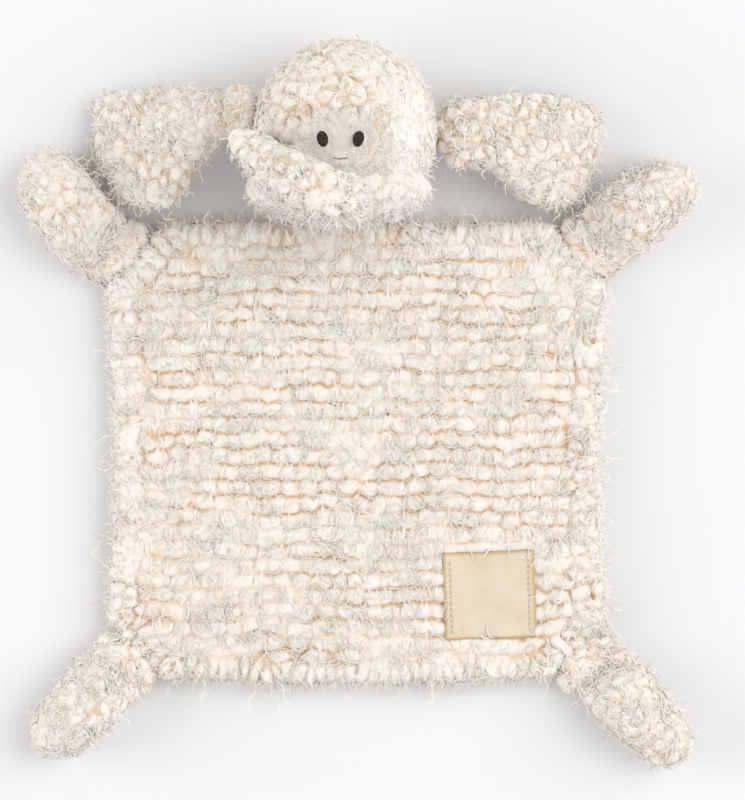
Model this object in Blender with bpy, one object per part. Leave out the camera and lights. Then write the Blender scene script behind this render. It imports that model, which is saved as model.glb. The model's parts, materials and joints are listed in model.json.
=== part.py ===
"""Comfort blanket lovey: a square blanket of two pile panels, with a stuffed head, a trunk, two ears and
four paws.

The toy lies face up on a table. Lengths are in metres and +Z is up. +Y runs from the blanket to the
head, and the origin is the middle of the blanket's underside.
"""

import math

import bmesh
import bpy
from mathutils import Vector

# Clearances
touch_gap = 0.0003  # left between pieces that lie against each other
floor_cut = 0.0005  # how deep the table flattens a stuffed piece
slit_gap = 0.0008  # opening left in the sewn mouth of a stuffed sleeve
filling_gap = 0.0007  # between a filling and the cloth round it

# Blanket
blanket_width = 0.300
blanket_length = 0.280
blanket_thickness = 0.018  # both panels with their pile
blanket_side_draw = 0.004  # how far the left and right sides are drawn in at their middle
blanket_foot_bow = 0.004  # how far the bottom edge bows out at its middle
blanket_edge_wave = 0.0012  # unevenness of the sewn edge
blanket_side_steps = 12
blanket_waves = 5

# Label, on the blanket's front panel
label_width = 0.054
label_length = 0.052
label_thickness = 0.0008
label_corner = 0.0020
label_from_side = 0.0702  # from the blanket's right side to the label's middle
label_from_foot = 0.0554  # from the blanket's bottom edge to the label's middle
label_tilt = math.radians(2.3)
label_corner_steps = 4
thread_margin = 0.0035  # from the label's edge to the row of stitches
stitch_half_width = 0.0005
stitch_count = 9
stitch_sides = 6
stitch_stations = 3  # rings for each stitch

# Head, an ovoid lying on its back
head_x = -0.006
head_past_edge = 0.053  # from the blanket's top edge to the head's centre
head_half_width = 0.0555
head_half_length = 0.055
head_half_depth = 0.050
head_cloth = 0.0055
head_sides = 24
head_rings = 5
face_out = 0.0055  # from the head's centre up to the middle of the face, towards the chin

# Face
eye_half_width = 0.0033
eye_half_length = 0.0049
eye_depth = 0.0012
eye_spread = 0.0105  # from the middle of the face to each eye
eye_rise = 0.0009  # the eyes' height above the middle of the face
eye_lean = math.radians(12)
eye_sides = 16
face_x = -0.0033  # middle of the face, to the left of the head's middle
mouth_half_width = 0.0052
mouth_drop = 0.0092  # from the middle of the face down to the mouth's ends
mouth_sag = 0.0014
mouth_radius = 0.0007
mouth_steps = 8
mouth_sides = 8

# Neck, the band that sews the head to the blanket's top edge
neck_half_width = 0.032
neck_axis_z = 0.014
neck_bead = 0.004
neck_reach = 0.030
neck_lip = 0.006

# Trunk
trunk_root_x = -0.002  # from the head's centre
trunk_root_y = -0.038
trunk_heading = math.radians(151)
trunk_reach = 0.066
trunk_rise = 0.0120
trunk_droop = 0.018
trunk_side_bend = 0.010
trunk_root_radius = 0.0145
trunk_belly_radius = 0.0160
trunk_tip_radius = 0.0090
trunk_cloth = 0.0040
trunk_sides = 16
trunk_steps = 6

# Ears
ear_length = 0.100
ear_width = 0.076
ear_half_thickness = 0.008
ear_root_z = 0.046
left_ear_bearing = math.radians(168)
right_ear_bearing = math.radians(0)
left_ear_root_top = 0.0084
left_ear_root_bottom = 0.0110
right_ear_root_top = 0.0210
right_ear_root_bottom = 0.0210

# Paws
paw_cloth = 0.0045
paw_sides = 16
paw_steps = 6
arm_hinge_inset = 0.017  # from the blanket's corner in to the hinge, along the diagonal
leg_hinge_inset = 0.014
arm_base_half_width = 0.022
arm_belly_half_width = 0.023
arm_half_height = 0.021
leg_base_half_width = 0.021
leg_belly_half_width = 0.0215
leg_half_height = 0.020
left_arm_reach = 0.056
left_arm_slide = 0.0078  # along the hinge, away from the diagonal
left_arm_tip_half_width = 0.0215
right_arm_reach = 0.056
right_arm_slide = -0.0036
right_arm_tip_half_width = 0.019
left_leg_reach = 0.057
left_leg_slide = 0.0
left_leg_tip_half_width = 0.0185
right_leg_reach = 0.065
right_leg_slide = -0.0018
right_leg_tip_half_width = 0.018

# Shares: how each form swells and tapers, chosen by eye
panel_edge_shares = ((0.0, 0.0), (0.0, 0.35), (0.10, 0.68), (0.35, 0.92), (0.90, 1.0))
panel_edge_run_share = 0.75  # how far in the rounded edge reaches, of the blanket's thickness
sharp_bend_share = 0.5  # the least that an outline's inward step is divided by at a sharp bend
ear_pillow_shares = ((1.0, 0.2), (0.965, 0.66), (0.88, 0.93), (0.68, 1.0))
ear_root_share = 0.97  # how much of its round the ear's root end keeps
ear_rest_share = 0.93  # how far out the drooping ear meets the table
ear_cloth_share = 0.97  # the cloth's outline within its pile
left_ear_shares = (
    (0.13, -0.155), (0.36, -0.115), (0.74, -0.015), (0.95, 0.07), (0.99, 0.16), (0.915, 0.58), (0.87, 0.69),
    (0.755, 0.805), (0.675, 0.91), (0.50, 0.95), (0.39, 0.92), (0.29, 0.845), (0.24, 0.73), (0.15, 0.505),
    (0.055, 0.28),
)
right_ear_shares = (
    (0.14, -0.31), (0.24, -0.33), (0.30, -0.42), (0.38, -0.49), (0.44, -0.57), (0.56, -0.61), (0.70, -0.62),
    (0.84, -0.58), (0.92, -0.45), (0.95, -0.26), (0.99, 0.0), (0.985, 0.20), (0.78, 0.31), (0.52, 0.36),
    (0.25, 0.33), (0.09, 0.30),
)
paw_swell_shares = (0.0, 0.36, 0.72, 0.93, 1.0, 0.97, 0.86)
paw_bead_shares = (0.985, 0.80, 0.45)
left_arm_path_shares = ((0.0, 0.07), (0.48, 0.125), (1.0, 0.0))
right_arm_path_shares = ((0.0, -0.035), (0.53, -0.04), (1.0, -0.16))
left_leg_path_shares = ((0.0, -0.035), (0.5, 0.02), (1.0, 0.02))
right_leg_path_shares = ((0.0, 0.06), (0.46, 0.03), (1.0, 0.03))
tip_round_shares = (0.5, 0.866)
oval_fullness_share = 0.86
stitch_dip_share = 0.35  # how thin the thread is where it dips
mouth_end_share = 0.45  # how thin the mouth's line is at its ends
eye_layer_shares = ((0.0, 0.0), (0.55, 0.0), (1.0, 0.0), (0.96, 0.55), (0.60, 0.90), (0.0, 1.0))
trunk_turn_share = 0.37  # how far out the trunk's curve turns
trunk_back_shares = (0.94, 0.75, 0.40)
trunk_mouth_share = 0.125  # how much narrower the trunk's mouth is inside, of the root's radius

# Fits that follow from the sizes above
panel_thickness = (blanket_thickness - touch_gap) / 2
paw_bead = blanket_thickness / 2
head_z = head_half_depth - floor_cut
neck_y = blanket_length / 2 + touch_gap + neck_bead
head_y = blanket_length / 2 + head_past_edge
label_x = blanket_width / 2 - label_from_side
label_y = label_from_foot - blanket_length / 2
label_z = blanket_thickness + touch_gap


def clear_scene():
    for item in list(bpy.data.objects):
        bpy.data.objects.remove(item, do_unlink=True)


def cloth(name, colour, roughness):
    """A plain, non-metal finish."""
    material = bpy.data.materials.new(name)
    material.use_nodes = True
    shader = material.node_tree.nodes["Principled BSDF"]
    shader.inputs["Base Color"].default_value = (*colour, 1.0)
    shader.inputs["Roughness"].default_value = roughness
    shader.inputs["Metallic"].default_value = 0.0
    return material


def joint_empty(name, place, bearing=0.0, pitch=0.0, parent=None):
    """An empty on a joint's axis; its local Y runs along the axis, and its local X away from the carrier."""
    empty = bpy.data.objects.new(name, None)
    bpy.context.collection.objects.link(empty)
    empty.location = place
    empty.rotation_euler = (0.0, pitch, bearing)
    empty.parent = parent
    return empty


def piece(name, rings, parent, material, loop=False):
    """One closed body skinned over a run of rings; a ring of one point is a pole.

    A flat face closes an end that is a ring, or with loop the last ring meets the first one.
    """
    bm = bmesh.new()
    rows = [[bm.verts.new(point) for point in ring] for ring in rings]
    pairs = list(zip(rows, rows[1:]))
    if loop:
        pairs.append((rows[-1], rows[0]))
    for row, following in pairs:
        bridge(bm, row, following)
    if not loop:
        for row in (rows[0], rows[-1]):
            if len(row) > 1:
                bm.faces.new(row)
    bmesh.ops.recalc_face_normals(bm, faces=bm.faces)
    mesh = bpy.data.meshes.new(name)
    bm.to_mesh(mesh)
    bm.free()
    mesh.shade_smooth()
    mesh.set_sharp_from_angle(angle=math.radians(50))
    mesh.materials.append(material)
    made = bpy.data.objects.new(name, mesh)
    bpy.context.collection.objects.link(made)
    made.parent = parent
    return made


def bridge(bm, row, following):
    """Faces between two rings, or between a ring and a pole."""
    count = max(len(row), len(following))
    if len(row) == len(following) == 1:
        return
    for k in range(count):
        after = (k + 1) % count
        if len(row) == 1:
            bm.faces.new((row[0], following[after], following[k]))
        elif len(following) == 1:
            bm.faces.new((row[k], row[after], following[0]))
        else:
            bm.faces.new((row[k], row[after], following[after], following[k]))


def between(start, turn, end, share):
    """Point on a curve that leaves start towards turn and arrives at end."""
    return start * (1 - share) ** 2 + turn * 2 * share * (1 - share) + end * share**2


def three_way(base, middle, tip, share):
    """A size that runs smoothly from base through middle, half way along, to tip."""
    from_base = base * 2 * (share - 0.5) * (share - 1)
    from_middle = middle * 4 * share * (share - 1)
    from_tip = tip * 2 * share * (share - 0.5)
    return from_base - from_middle + from_tip


def oval_ring(centre, forward, half_width, half_height, count, floor=None):
    """Points round an oval section square to forward, cut flat where a floor is given."""
    side = Vector((0, 0, 1)).cross(forward).normalized()
    up = forward.cross(side).normalized()
    ring = []
    for k in range(count):
        turn = 2 * math.pi * k / count
        across = math.copysign(abs(math.cos(turn)) ** oval_fullness_share, math.cos(turn))
        over = math.copysign(abs(math.sin(turn)) ** oval_fullness_share, math.sin(turn))
        point = centre + side * half_width * across + up * half_height * over
        if floor is not None:
            point.z = max(point.z, floor)
        ring.append(point)
    return ring


def centroid(points):
    return sum(points, Vector((0, 0))) / len(points)


def blanket_corner(end):
    """A corner before it is cut off, as half width and signed length, at the head's end (1) or foot (-1)."""
    reach = blanket_length / 2 if end > 0 else blanket_length / 2 - blanket_foot_bow
    return Vector((blanket_width / 2, end * reach))


def corner_cut(inset):
    """How far along each side a corner is cut off to clear the paw's rounded base."""
    return (inset + paw_bead + touch_gap) * math.sqrt(2)


def blanket_outline():
    """The sewn edge, anticlockwise: four sides between the corners that the paws take."""
    head = blanket_corner(1)
    foot = blanket_corner(-1)
    arm = corner_cut(arm_hinge_inset)
    leg = corner_cut(leg_hinge_inset)
    runs = (
        (Vector((-foot.x + leg, foot.y)), Vector((foot.x - leg, foot.y)), Vector((0, -blanket_foot_bow)), 1),
        (Vector((foot.x, foot.y + leg)), Vector((head.x, head.y - arm)), Vector((-blanket_side_draw, 0)), 1),
        (Vector((head.x - arm, head.y)), Vector((-head.x + arm, head.y)), Vector((0, 0)), 0),
        (Vector((-head.x, head.y - arm)), Vector((-foot.x, foot.y + leg)), Vector((blanket_side_draw, 0)), 1),
    )
    outline = []
    for start, end, bow, waves in runs:
        outward = Vector((end.y - start.y, start.x - end.x)).normalized()
        for k in range(blanket_side_steps + 1):
            share = k / blanket_side_steps
            middling = share * (1 - share)
            wave = blanket_edge_wave * waves * math.sin(2 * math.pi * blanket_waves * share) * middling
            outline.append(start.lerp(end, share) + bow * 4 * middling + outward * wave)
    return outline


def inset_outline(outline, distance):
    """The outline moved inwards by a distance."""
    moved = []
    for k, point in enumerate(outline):
        before = point - outline[k - 1]
        after = outline[(k + 1) % len(outline)] - point
        left_before = Vector((-before.y, before.x)).normalized()
        left_after = Vector((-after.y, after.x)).normalized()
        inward = (left_before + left_after).normalized()
        moved.append(point + inward * distance / max(inward.dot(left_before), sharp_bend_share))
    return moved


def blanket_panel(name, side, material):
    """One pile panel, flat where the two meet and on the table, with a soft rounded edge between."""
    outline = blanket_outline()
    seam = blanket_thickness / 2 + side * touch_gap / 2
    edge_run = panel_edge_run_share * blanket_thickness
    rings = []
    for in_share, up_share in panel_edge_shares:
        points = inset_outline(outline, in_share * edge_run)
        rings.append([Vector((p.x, p.y, seam + side * up_share * panel_thickness)) for p in points])
    return piece(name, rings, None, material)


def rounded_rectangle(width, length, corner, steps):
    points = []
    for quarter, (sx, sy) in enumerate(((1, 1), (-1, 1), (-1, -1), (1, -1))):
        for k in range(steps + 1):
            turn = math.pi / 2 * (quarter + k / steps)
            middle = Vector((sx * (width / 2 - corner), sy * (length / 2 - corner)))
            points.append(middle + Vector((math.cos(turn), math.sin(turn))) * corner)
    return points


def label(parent, material):
    outline = rounded_rectangle(label_width, label_length, label_corner, label_corner_steps)
    rings = [[Vector((p.x, p.y, z)) for p in outline] for z in (0, label_thickness)]
    return piece("label", rings, parent, material)


def label_thread(name, side, parent, material):
    """A running stitch along one side of the label: it swells where it shows and thins where it dips."""
    x = side * (label_width / 2 - thread_margin)
    z = label_thickness + touch_gap + stitch_half_width
    run = label_length - 2 * thread_margin
    stations = stitch_stations * stitch_count + 1
    rings = []
    for k in range(stations):
        size = stitch_half_width * (1 if k % stitch_stations else stitch_dip_share)
        centre = Vector((x, run * (k / (stations - 1) - 0.5), z))
        rings.append(oval_ring(centre, Vector((0, 1, 0)), size, size, stitch_sides))
    return piece(name, rings, parent, material)


def dome_ring(radii, polar, side, middle):
    """A ring round the head's ovoid; polar is measured from the pole on the given side."""
    if polar > math.pi / 2 - 0.001:
        height = touch_gap / 2
    else:
        height = radii.z * math.cos(polar)
    ring = []
    for k in range(head_sides):
        turn = 2 * math.pi * k / head_sides
        flat = Vector((radii.x * math.cos(turn), radii.y * math.sin(turn), 0)) * math.sin(polar)
        point = middle + flat + Vector((0, 0, side * height))
        point.z = max(point.z, -neck_axis_z)
        ring.append(point)
    return ring


def head_middle():
    """The head's centre, seen from its joint."""
    return Vector((0, head_y - neck_y, head_z - neck_axis_z))


def head_radii(inward=0.0):
    return Vector((head_half_width - inward, head_half_length - inward, head_half_depth - inward))


def dome(radii, side):
    """Rings from the pole on one side to the side seam."""
    middle = head_middle()
    pole = middle + Vector((0, 0, side * radii.z))
    pole.z = max(pole.z, -neck_axis_z)
    rings = [[pole]]
    for k in range(1, head_rings + 1):
        rings.append(dome_ring(radii, math.pi / 2 * k / head_rings, side, middle))
    return rings


def head_cover(name, side, parent, material):
    """Half of the head's cover, an open bowl of pile cloth."""
    outer = dome(head_radii(), side)
    inner = dome(head_radii(head_cloth), side)
    return piece(name, outer + inner[::-1], parent, material)


def head_filling(parent, material):
    radii = head_radii(head_cloth + filling_gap)
    front = dome(radii, 1)
    back = dome(radii, -1)
    return piece("head_filling", front[:-1] + back[-2::-1], parent, material)


def on_head(x, y, lift=0.0):
    """A point over the front of the head, a little above the cover; x and y are from the head's centre."""
    radii = head_radii(-lift)
    height = radii.z * math.sqrt(1 - (x / radii.x) ** 2 - (y / radii.y) ** 2)
    return head_middle() + Vector((x, y, height))


def eye(name, side, parent, material):
    """A raised satin-stitched oval whose top leans away from the middle of the face."""
    middle = Vector((face_x + side * eye_spread, -face_out + eye_rise))
    rings = []
    for spread_share, depth_share in eye_layer_shares:
        ring = []
        for k in range(eye_sides if spread_share else 1):
            turn = 2 * math.pi * k / eye_sides
            across = eye_half_width * spread_share * math.cos(turn)
            along = eye_half_length * spread_share * math.sin(turn)
            lean = -side * eye_lean
            x = across * math.cos(lean) - along * math.sin(lean)
            y = across * math.sin(lean) + along * math.cos(lean)
            ring.append(on_head(middle.x + x, middle.y + y, touch_gap + eye_depth * depth_share))
        rings.append(ring)
    return piece(name, rings, parent, material)


def mouth(parent, material):
    """A short stitched line that sags in the middle."""
    rings = []
    for k in range(mouth_steps + 1):
        share = k / mouth_steps
        x = face_x + mouth_half_width * (2 * share - 1)
        y = -face_out - mouth_drop - mouth_sag * 4 * share * (1 - share)
        size = mouth_radius * (mouth_end_share + (1 - mouth_end_share) * math.sin(math.pi * share))
        centre = on_head(x, y, touch_gap + mouth_radius)
        rings.append(oval_ring(centre, Vector((1, 0, 0)), size, size, mouth_sides))
    return piece("mouth", rings, parent, material)


def neck(parent, material):
    """A band that is round about the hinge and fills the wedge under the head, cut to the head's curve."""
    profile = []
    for k in range(7):
        turn = math.pi / 2 + math.pi * k / 6
        profile.append(Vector((0, math.cos(turn), math.sin(turn))) * neck_bead)
    profile.append(Vector((0, neck_reach, -neck_axis_z)))
    profile.append(Vector((0, neck_reach, neck_lip)))
    profile.append(Vector((0, neck_bead, neck_lip)))
    rings = [[p + Vector((x, 0, 0)) for p in profile] for x in (-neck_half_width, neck_half_width)]
    band = piece("neck", rings, parent, material)
    radii = head_radii(-touch_gap)
    cutter = piece("head_space", dome(radii, 1)[:-1] + dome(radii, -1)[::-1], parent, material)
    cutter.hide_render = True
    cutter.display_type = "WIRE"
    cut = band.modifiers.new("fit_to_head", "BOOLEAN")
    cut.operation = "DIFFERENCE"
    cut.solver = "EXACT"
    cut.object = cutter
    return band


def trunk_height():
    """How high the trunk's root lies so that its round end just rests on the head."""
    reach = trunk_root_radius + 2 * touch_gap
    radii = head_radii(-reach)
    height = radii.z * math.sqrt(1 - (trunk_root_x / radii.x) ** 2 - (trunk_root_y / radii.y) ** 2)
    return head_middle() + Vector((trunk_root_x, trunk_root_y, height))


def trunk_turn():
    """The point the trunk's curve leaves its root towards."""
    return Vector((trunk_reach * trunk_turn_share, trunk_side_bend, trunk_rise))


def trunk_rings(inward):
    """Rings from the trunk's root to its tip, with the pole at the tip."""
    start = Vector((0, 0, 0))
    turn = trunk_turn()
    end = Vector((trunk_reach, 0, -trunk_droop))
    rings = []
    for k in range(trunk_steps + 1):
        share = k / trunk_steps
        forward = ((turn - start) * (1 - share) + (end - turn) * share).normalized()
        size = three_way(trunk_root_radius, trunk_belly_radius, trunk_tip_radius, share) - inward
        rings.append(oval_ring(between(start, turn, end, share), forward, size, size, trunk_sides))
    tip = trunk_tip_radius - inward
    for out_share in tip_round_shares:
        size = tip * math.sqrt(1 - out_share**2)
        rings.append(oval_ring(end + forward * tip * out_share, forward, size, size, trunk_sides))
    rings.append([end + forward * tip])
    return rings


def trunk_mouth_rings(inward, shares):
    """Rings of the trunk's round root end, from its mouth up to the root."""
    forward = trunk_turn().normalized()
    rings = []
    for back_share in shares:
        size = trunk_root_radius * math.sqrt(1 - back_share**2) - inward
        centre = -forward * trunk_root_radius * back_share
        rings.append(oval_ring(centre, forward, size, size, trunk_sides))
    return rings


def trunk(parent, cover_material, filling_material):
    outer = trunk_mouth_rings(0, trunk_back_shares) + trunk_rings(0)
    inner = trunk_mouth_rings(trunk_root_radius * trunk_mouth_share, trunk_back_shares[:1])
    inner += trunk_rings(trunk_cloth)
    piece("trunk_cover", outer + inner[::-1], parent, cover_material, loop=True)
    piece("trunk_filling", trunk_rings(trunk_cloth + filling_gap), parent, filling_material)


def ear_empty(name, bearing, head):
    """The ear's hinge, against the side of the head; the ear droops from it to the table."""
    droop = math.asin((ear_root_z - ear_half_thickness) / (ear_length * ear_rest_share))
    out = Vector((math.cos(bearing), math.sin(bearing)))
    side = 1 / math.sqrt((out.x / head_half_width) ** 2 + (out.y / head_half_length) ** 2)
    reach = side + touch_gap + ear_half_thickness
    middle = head_middle()
    place = (out.x * reach, middle.y + out.y * reach, ear_root_z - neck_axis_z)
    return joint_empty(name, place, bearing, droop, head)


def ear_outline(shares, first_root, last_root):
    """The sewn edge of an ear: round the free part, then back to the root against the head."""
    root_x = -ear_half_thickness * ear_root_share
    free = [Vector((u * ear_length, v * ear_width)) for u, v in shares]
    middle = centroid(free)
    free = [middle + (p - middle) * ear_cloth_share for p in free]
    return [Vector((root_x, first_root))] + free + [Vector((root_x, last_root))]


def ear_panel(name, outline, side, parent, material):
    """One of an ear's two panels: flat where they meet, softly domed outside."""
    middle = centroid(outline)
    rings = [[Vector((p.x, p.y, side * touch_gap / 2)) for p in outline]]
    for spread_share, height_share in ear_pillow_shares:
        height = side * ear_half_thickness * height_share
        moved = [middle + (p - middle) * spread_share for p in outline]
        rings.append([Vector((p.x, p.y, height)) for p in moved])
    return piece(name, rings, parent, material)


def paw_empty(name, sign_x, end, inset, slide):
    """The paw's hinge across a corner of the blanket; local X runs out along the diagonal."""
    corner = blanket_corner(end)
    out = Vector((sign_x, end)).normalized()
    along_hinge = Vector((-out.y, out.x))
    place = Vector((sign_x * corner.x, corner.y)) - out * inset + along_hinge * slide
    return joint_empty(name, (place.x, place.y, paw_bead), math.atan2(out.y, out.x))


def paw_half_height(share_index, belly_half_height):
    return paw_bead + (belly_half_height - paw_bead) * paw_swell_shares[share_index]


def paw_body_rings(reach, path_shares, widths, belly_half_height, inward):
    """Rings from the hinge to the paw's round tip, with the pole at the tip."""
    start, turn, end = (Vector((u * reach, v * reach, 0)) for u, v in path_shares)
    base, belly, tip = widths
    rings = []
    for k in range(paw_steps + 1):
        share = k / paw_steps
        tangent = ((turn - start) * (1 - share) + (end - turn) * share).normalized()
        forward = Vector((1, 0, 0)).lerp(tangent, min(1, 3 * share)).normalized()
        half_height = paw_half_height(k, belly_half_height)
        height = half_height - inward
        lift = half_height - paw_bead - floor_cut * min(1, k)
        centre = between(start, turn, end, share) + Vector((0, 0, lift))
        half_width = three_way(base, belly, tip, share) - inward
        rings.append(oval_ring(centre, forward, half_width, height, paw_sides, inward - paw_bead))
    tip_reach = tip - inward
    for out_share in tip_round_shares:
        size_share = math.sqrt(1 - out_share**2)
        middle = centre + forward * tip_reach * out_share
        radius = tip_reach * size_share
        rings.append(oval_ring(middle, forward, radius, height * size_share, paw_sides, inward - paw_bead))
    rings.append([centre + forward * tip_reach])
    return rings


def paw_base_rings(start_y, half_width, shares, half_height=None):
    """Rings of the paw's rounded base behind its hinge, or of the slit in it."""
    rings = []
    for back_share in shares:
        height = half_height or paw_bead * math.sqrt(1 - back_share**2)
        centre = Vector((-paw_bead * back_share, start_y, 0))
        rings.append(oval_ring(centre, Vector((1, 0, 0)), half_width, height, paw_sides))
    return rings


def paw(name, parent, reach, path_shares, widths, belly_half_height, cover_material, filling_material):
    """A stuffed sleeve: round about its hinge, then swelling to a round tip, with its filling inside."""
    start_y = path_shares[0][1] * reach
    base = widths[0]
    slit = paw_base_rings(start_y, base - paw_cloth, (paw_bead_shares[0], paw_bead_shares[2]), slit_gap / 2)
    outer = paw_base_rings(start_y, base, paw_bead_shares)
    outer += paw_body_rings(reach, path_shares, widths, belly_half_height, 0)
    inner = slit + paw_body_rings(reach, path_shares, widths, belly_half_height, paw_cloth)
    filling = paw_body_rings(reach, path_shares, widths, belly_half_height, paw_cloth + filling_gap)
    piece(name + "_cover", outer + inner[::-1], parent, cover_material, loop=True)
    piece(name + "_filling", filling, parent, filling_material)


def build_blanket():
    pile = cloth("tufted_pile", (0.83, 0.74, 0.62), 0.95)
    blanket_panel("blanket_back", -1, cloth("back_pile", (0.84, 0.78, 0.69), 0.95))
    blanket_panel("blanket_front", 1, pile)
    place = joint_empty("label_place", (label_x, label_y, label_z), label_tilt)
    label(place, cloth("label_weave", (0.83, 0.68, 0.43), 0.85))
    label_thread("label_thread_left", -1, place, cloth("thread_left", (0.62, 0.44, 0.22), 0.8))
    label_thread("label_thread_right", 1, place, cloth("thread_right", (0.62, 0.44, 0.22), 0.8))


def build_paws():
    arm_widths = (arm_base_half_width, arm_belly_half_width)
    leg_widths = (leg_base_half_width, leg_belly_half_width)
    paws = (
        ("left_arm", -1, 1, arm_hinge_inset, left_arm_slide, left_arm_reach, left_arm_path_shares,
         (*arm_widths, left_arm_tip_half_width), arm_half_height),
        ("right_arm", 1, 1, arm_hinge_inset, right_arm_slide, right_arm_reach, right_arm_path_shares,
         (*arm_widths, right_arm_tip_half_width), arm_half_height),
        ("left_leg", -1, -1, leg_hinge_inset, left_leg_slide, left_leg_reach, left_leg_path_shares,
         (*leg_widths, left_leg_tip_half_width), leg_half_height),
        ("right_leg", 1, -1, leg_hinge_inset, right_leg_slide, right_leg_reach, right_leg_path_shares,
         (*leg_widths, right_leg_tip_half_width), leg_half_height),
    )
    for name, sign_x, end, inset, slide, reach, path_shares, widths, half_height in paws:
        hinge = paw_empty(name + "_joint", sign_x, end, inset, slide)
        cover = cloth(name + "_pile", (0.84, 0.76, 0.65), 0.95)
        fibre = cloth(name + "_fibre", (0.95, 0.95, 0.94), 1.0)
        paw(name, hinge, reach, path_shares, widths, half_height, cover, fibre)


def build_head():
    hinge = joint_empty("head_joint", (head_x, neck_y, neck_axis_z))
    head_cover("head_back_cover", -1, hinge, cloth("head_back_pile", (0.84, 0.77, 0.66), 0.95))
    head_cover("head_front_cover", 1, hinge, cloth("head_front_pile", (0.86, 0.79, 0.69), 0.95))
    head_filling(hinge, cloth("head_fibre", (0.95, 0.95, 0.94), 1.0))
    neck(hinge, cloth("neck_cloth", (0.82, 0.72, 0.58), 0.95))
    eye("left_eye", -1, hinge, cloth("left_eye_thread", (0.035, 0.022, 0.018), 0.45))
    eye("right_eye", 1, hinge, cloth("right_eye_thread", (0.035, 0.022, 0.018), 0.45))
    mouth(hinge, cloth("mouth_thread", (0.25, 0.19, 0.09), 0.6))
    trunk_hinge = joint_empty("trunk_joint", trunk_height(), trunk_heading, 0.0, hinge)
    trunk_pile = cloth("trunk_pile", (0.90, 0.84, 0.76), 0.95)
    trunk(trunk_hinge, trunk_pile, cloth("trunk_fibre", (0.95, 0.95, 0.94), 1.0))
    return hinge


def build_ears(head):
    ears = (
        ("left_ear", left_ear_bearing, left_ear_shares, -left_ear_root_top, left_ear_root_bottom),
        ("right_ear", right_ear_bearing, right_ear_shares, -right_ear_root_bottom, right_ear_root_top),
    )
    for name, bearing, shares, first_root, last_root in ears:
        hinge = ear_empty(name + "_joint", bearing, head)
        outline = ear_outline(shares, first_root, last_root)
        ear_panel(name + "_back", outline, -1, hinge, cloth(name + "_back_pile", (0.84, 0.77, 0.66), 0.95))
        ear_panel(name + "_front", outline, 1, hinge, cloth(name + "_front_pile", (0.85, 0.77, 0.67), 0.95))


def main():
    clear_scene()
    build_blanket()
    build_paws()
    head = build_head()
    build_ears(head)


main()
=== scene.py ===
"""Comfort blanket lovey, dressed in tufted pile, loose yarn, fur and stitching over its solids.

The toy lies face up on the table at z = 0, and +Y runs from the blanket to the head. Lengths are in metres.
"""

import json
import math

import bmesh
import bpy
import numpy as np
from bpy.props import FloatProperty, FloatVectorProperty, IntProperty, PointerProperty
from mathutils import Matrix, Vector, noise
from mathutils.bvhtree import BVHTree
from mathutils.kdtree import KDTree

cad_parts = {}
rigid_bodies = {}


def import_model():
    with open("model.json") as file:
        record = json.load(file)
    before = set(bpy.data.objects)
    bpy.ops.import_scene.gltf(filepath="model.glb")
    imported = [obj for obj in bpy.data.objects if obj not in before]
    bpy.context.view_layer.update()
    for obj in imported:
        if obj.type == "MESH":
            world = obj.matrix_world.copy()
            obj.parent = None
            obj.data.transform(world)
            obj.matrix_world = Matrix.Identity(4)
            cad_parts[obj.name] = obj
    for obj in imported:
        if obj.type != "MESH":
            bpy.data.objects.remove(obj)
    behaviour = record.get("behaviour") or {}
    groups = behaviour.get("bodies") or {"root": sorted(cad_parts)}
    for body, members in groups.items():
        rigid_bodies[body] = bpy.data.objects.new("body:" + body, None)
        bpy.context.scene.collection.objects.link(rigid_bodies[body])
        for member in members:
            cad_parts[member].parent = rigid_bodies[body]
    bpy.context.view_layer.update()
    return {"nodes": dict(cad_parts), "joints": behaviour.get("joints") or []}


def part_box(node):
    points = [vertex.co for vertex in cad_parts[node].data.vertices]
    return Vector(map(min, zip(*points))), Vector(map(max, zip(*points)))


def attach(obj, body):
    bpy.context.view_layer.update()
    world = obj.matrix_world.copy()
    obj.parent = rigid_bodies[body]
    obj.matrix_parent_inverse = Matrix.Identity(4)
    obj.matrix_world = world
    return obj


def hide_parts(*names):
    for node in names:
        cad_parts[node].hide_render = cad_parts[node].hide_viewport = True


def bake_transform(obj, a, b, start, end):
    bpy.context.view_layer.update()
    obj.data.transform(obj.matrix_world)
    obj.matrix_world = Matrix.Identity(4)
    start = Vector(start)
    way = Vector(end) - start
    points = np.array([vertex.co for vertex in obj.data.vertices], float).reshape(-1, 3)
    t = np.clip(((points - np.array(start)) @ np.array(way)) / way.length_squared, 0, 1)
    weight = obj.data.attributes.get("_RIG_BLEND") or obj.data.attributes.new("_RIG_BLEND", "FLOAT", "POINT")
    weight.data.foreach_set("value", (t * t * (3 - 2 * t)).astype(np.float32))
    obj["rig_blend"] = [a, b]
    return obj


bl_info = {
    "name": "Comfort blanket lovey",
    "version": (1, 0, 0),
    "blender": (4, 5, 0),
    "location": "View3D > Sidebar > Lovey",
    "description": "Dresses a stuffed comfort blanket in tufted pile, loose yarn, fur and stitching",
    "category": "Object",
}

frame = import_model()

NEAR_TUFTS = 4  # how many tufts round a point shape its height
TABLE = 0.0006  # how far skins stay above the table
ROOT = 0.001  # how deep in the pile fur and yarn start
FINE = 0.0011  # spacing of the points that carry the tufts of the trunk, ears and paws
BUNCH = 7  # yarn ends in a golden bunch
INSET = 0.0018  # room under the solids' faces for the panels' tufts
HANGING = (0.0, 0.2, 0.6)  # the way hanging fur takes the light
KNIT_SPOTS = ((0.1405, 0.0665, 0.0785, 5), (0.1440, -0.0880, -0.0745, 4))  # x, lowest y, highest y, ribs
SOFT = {
    "Specular_IOR_Level": 0.0, "Sheen_Weight": 0.35, "Sheen_Roughness": 0.6, "Sheen_Tint": (1.0, 0.96, 0.91)
}

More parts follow.
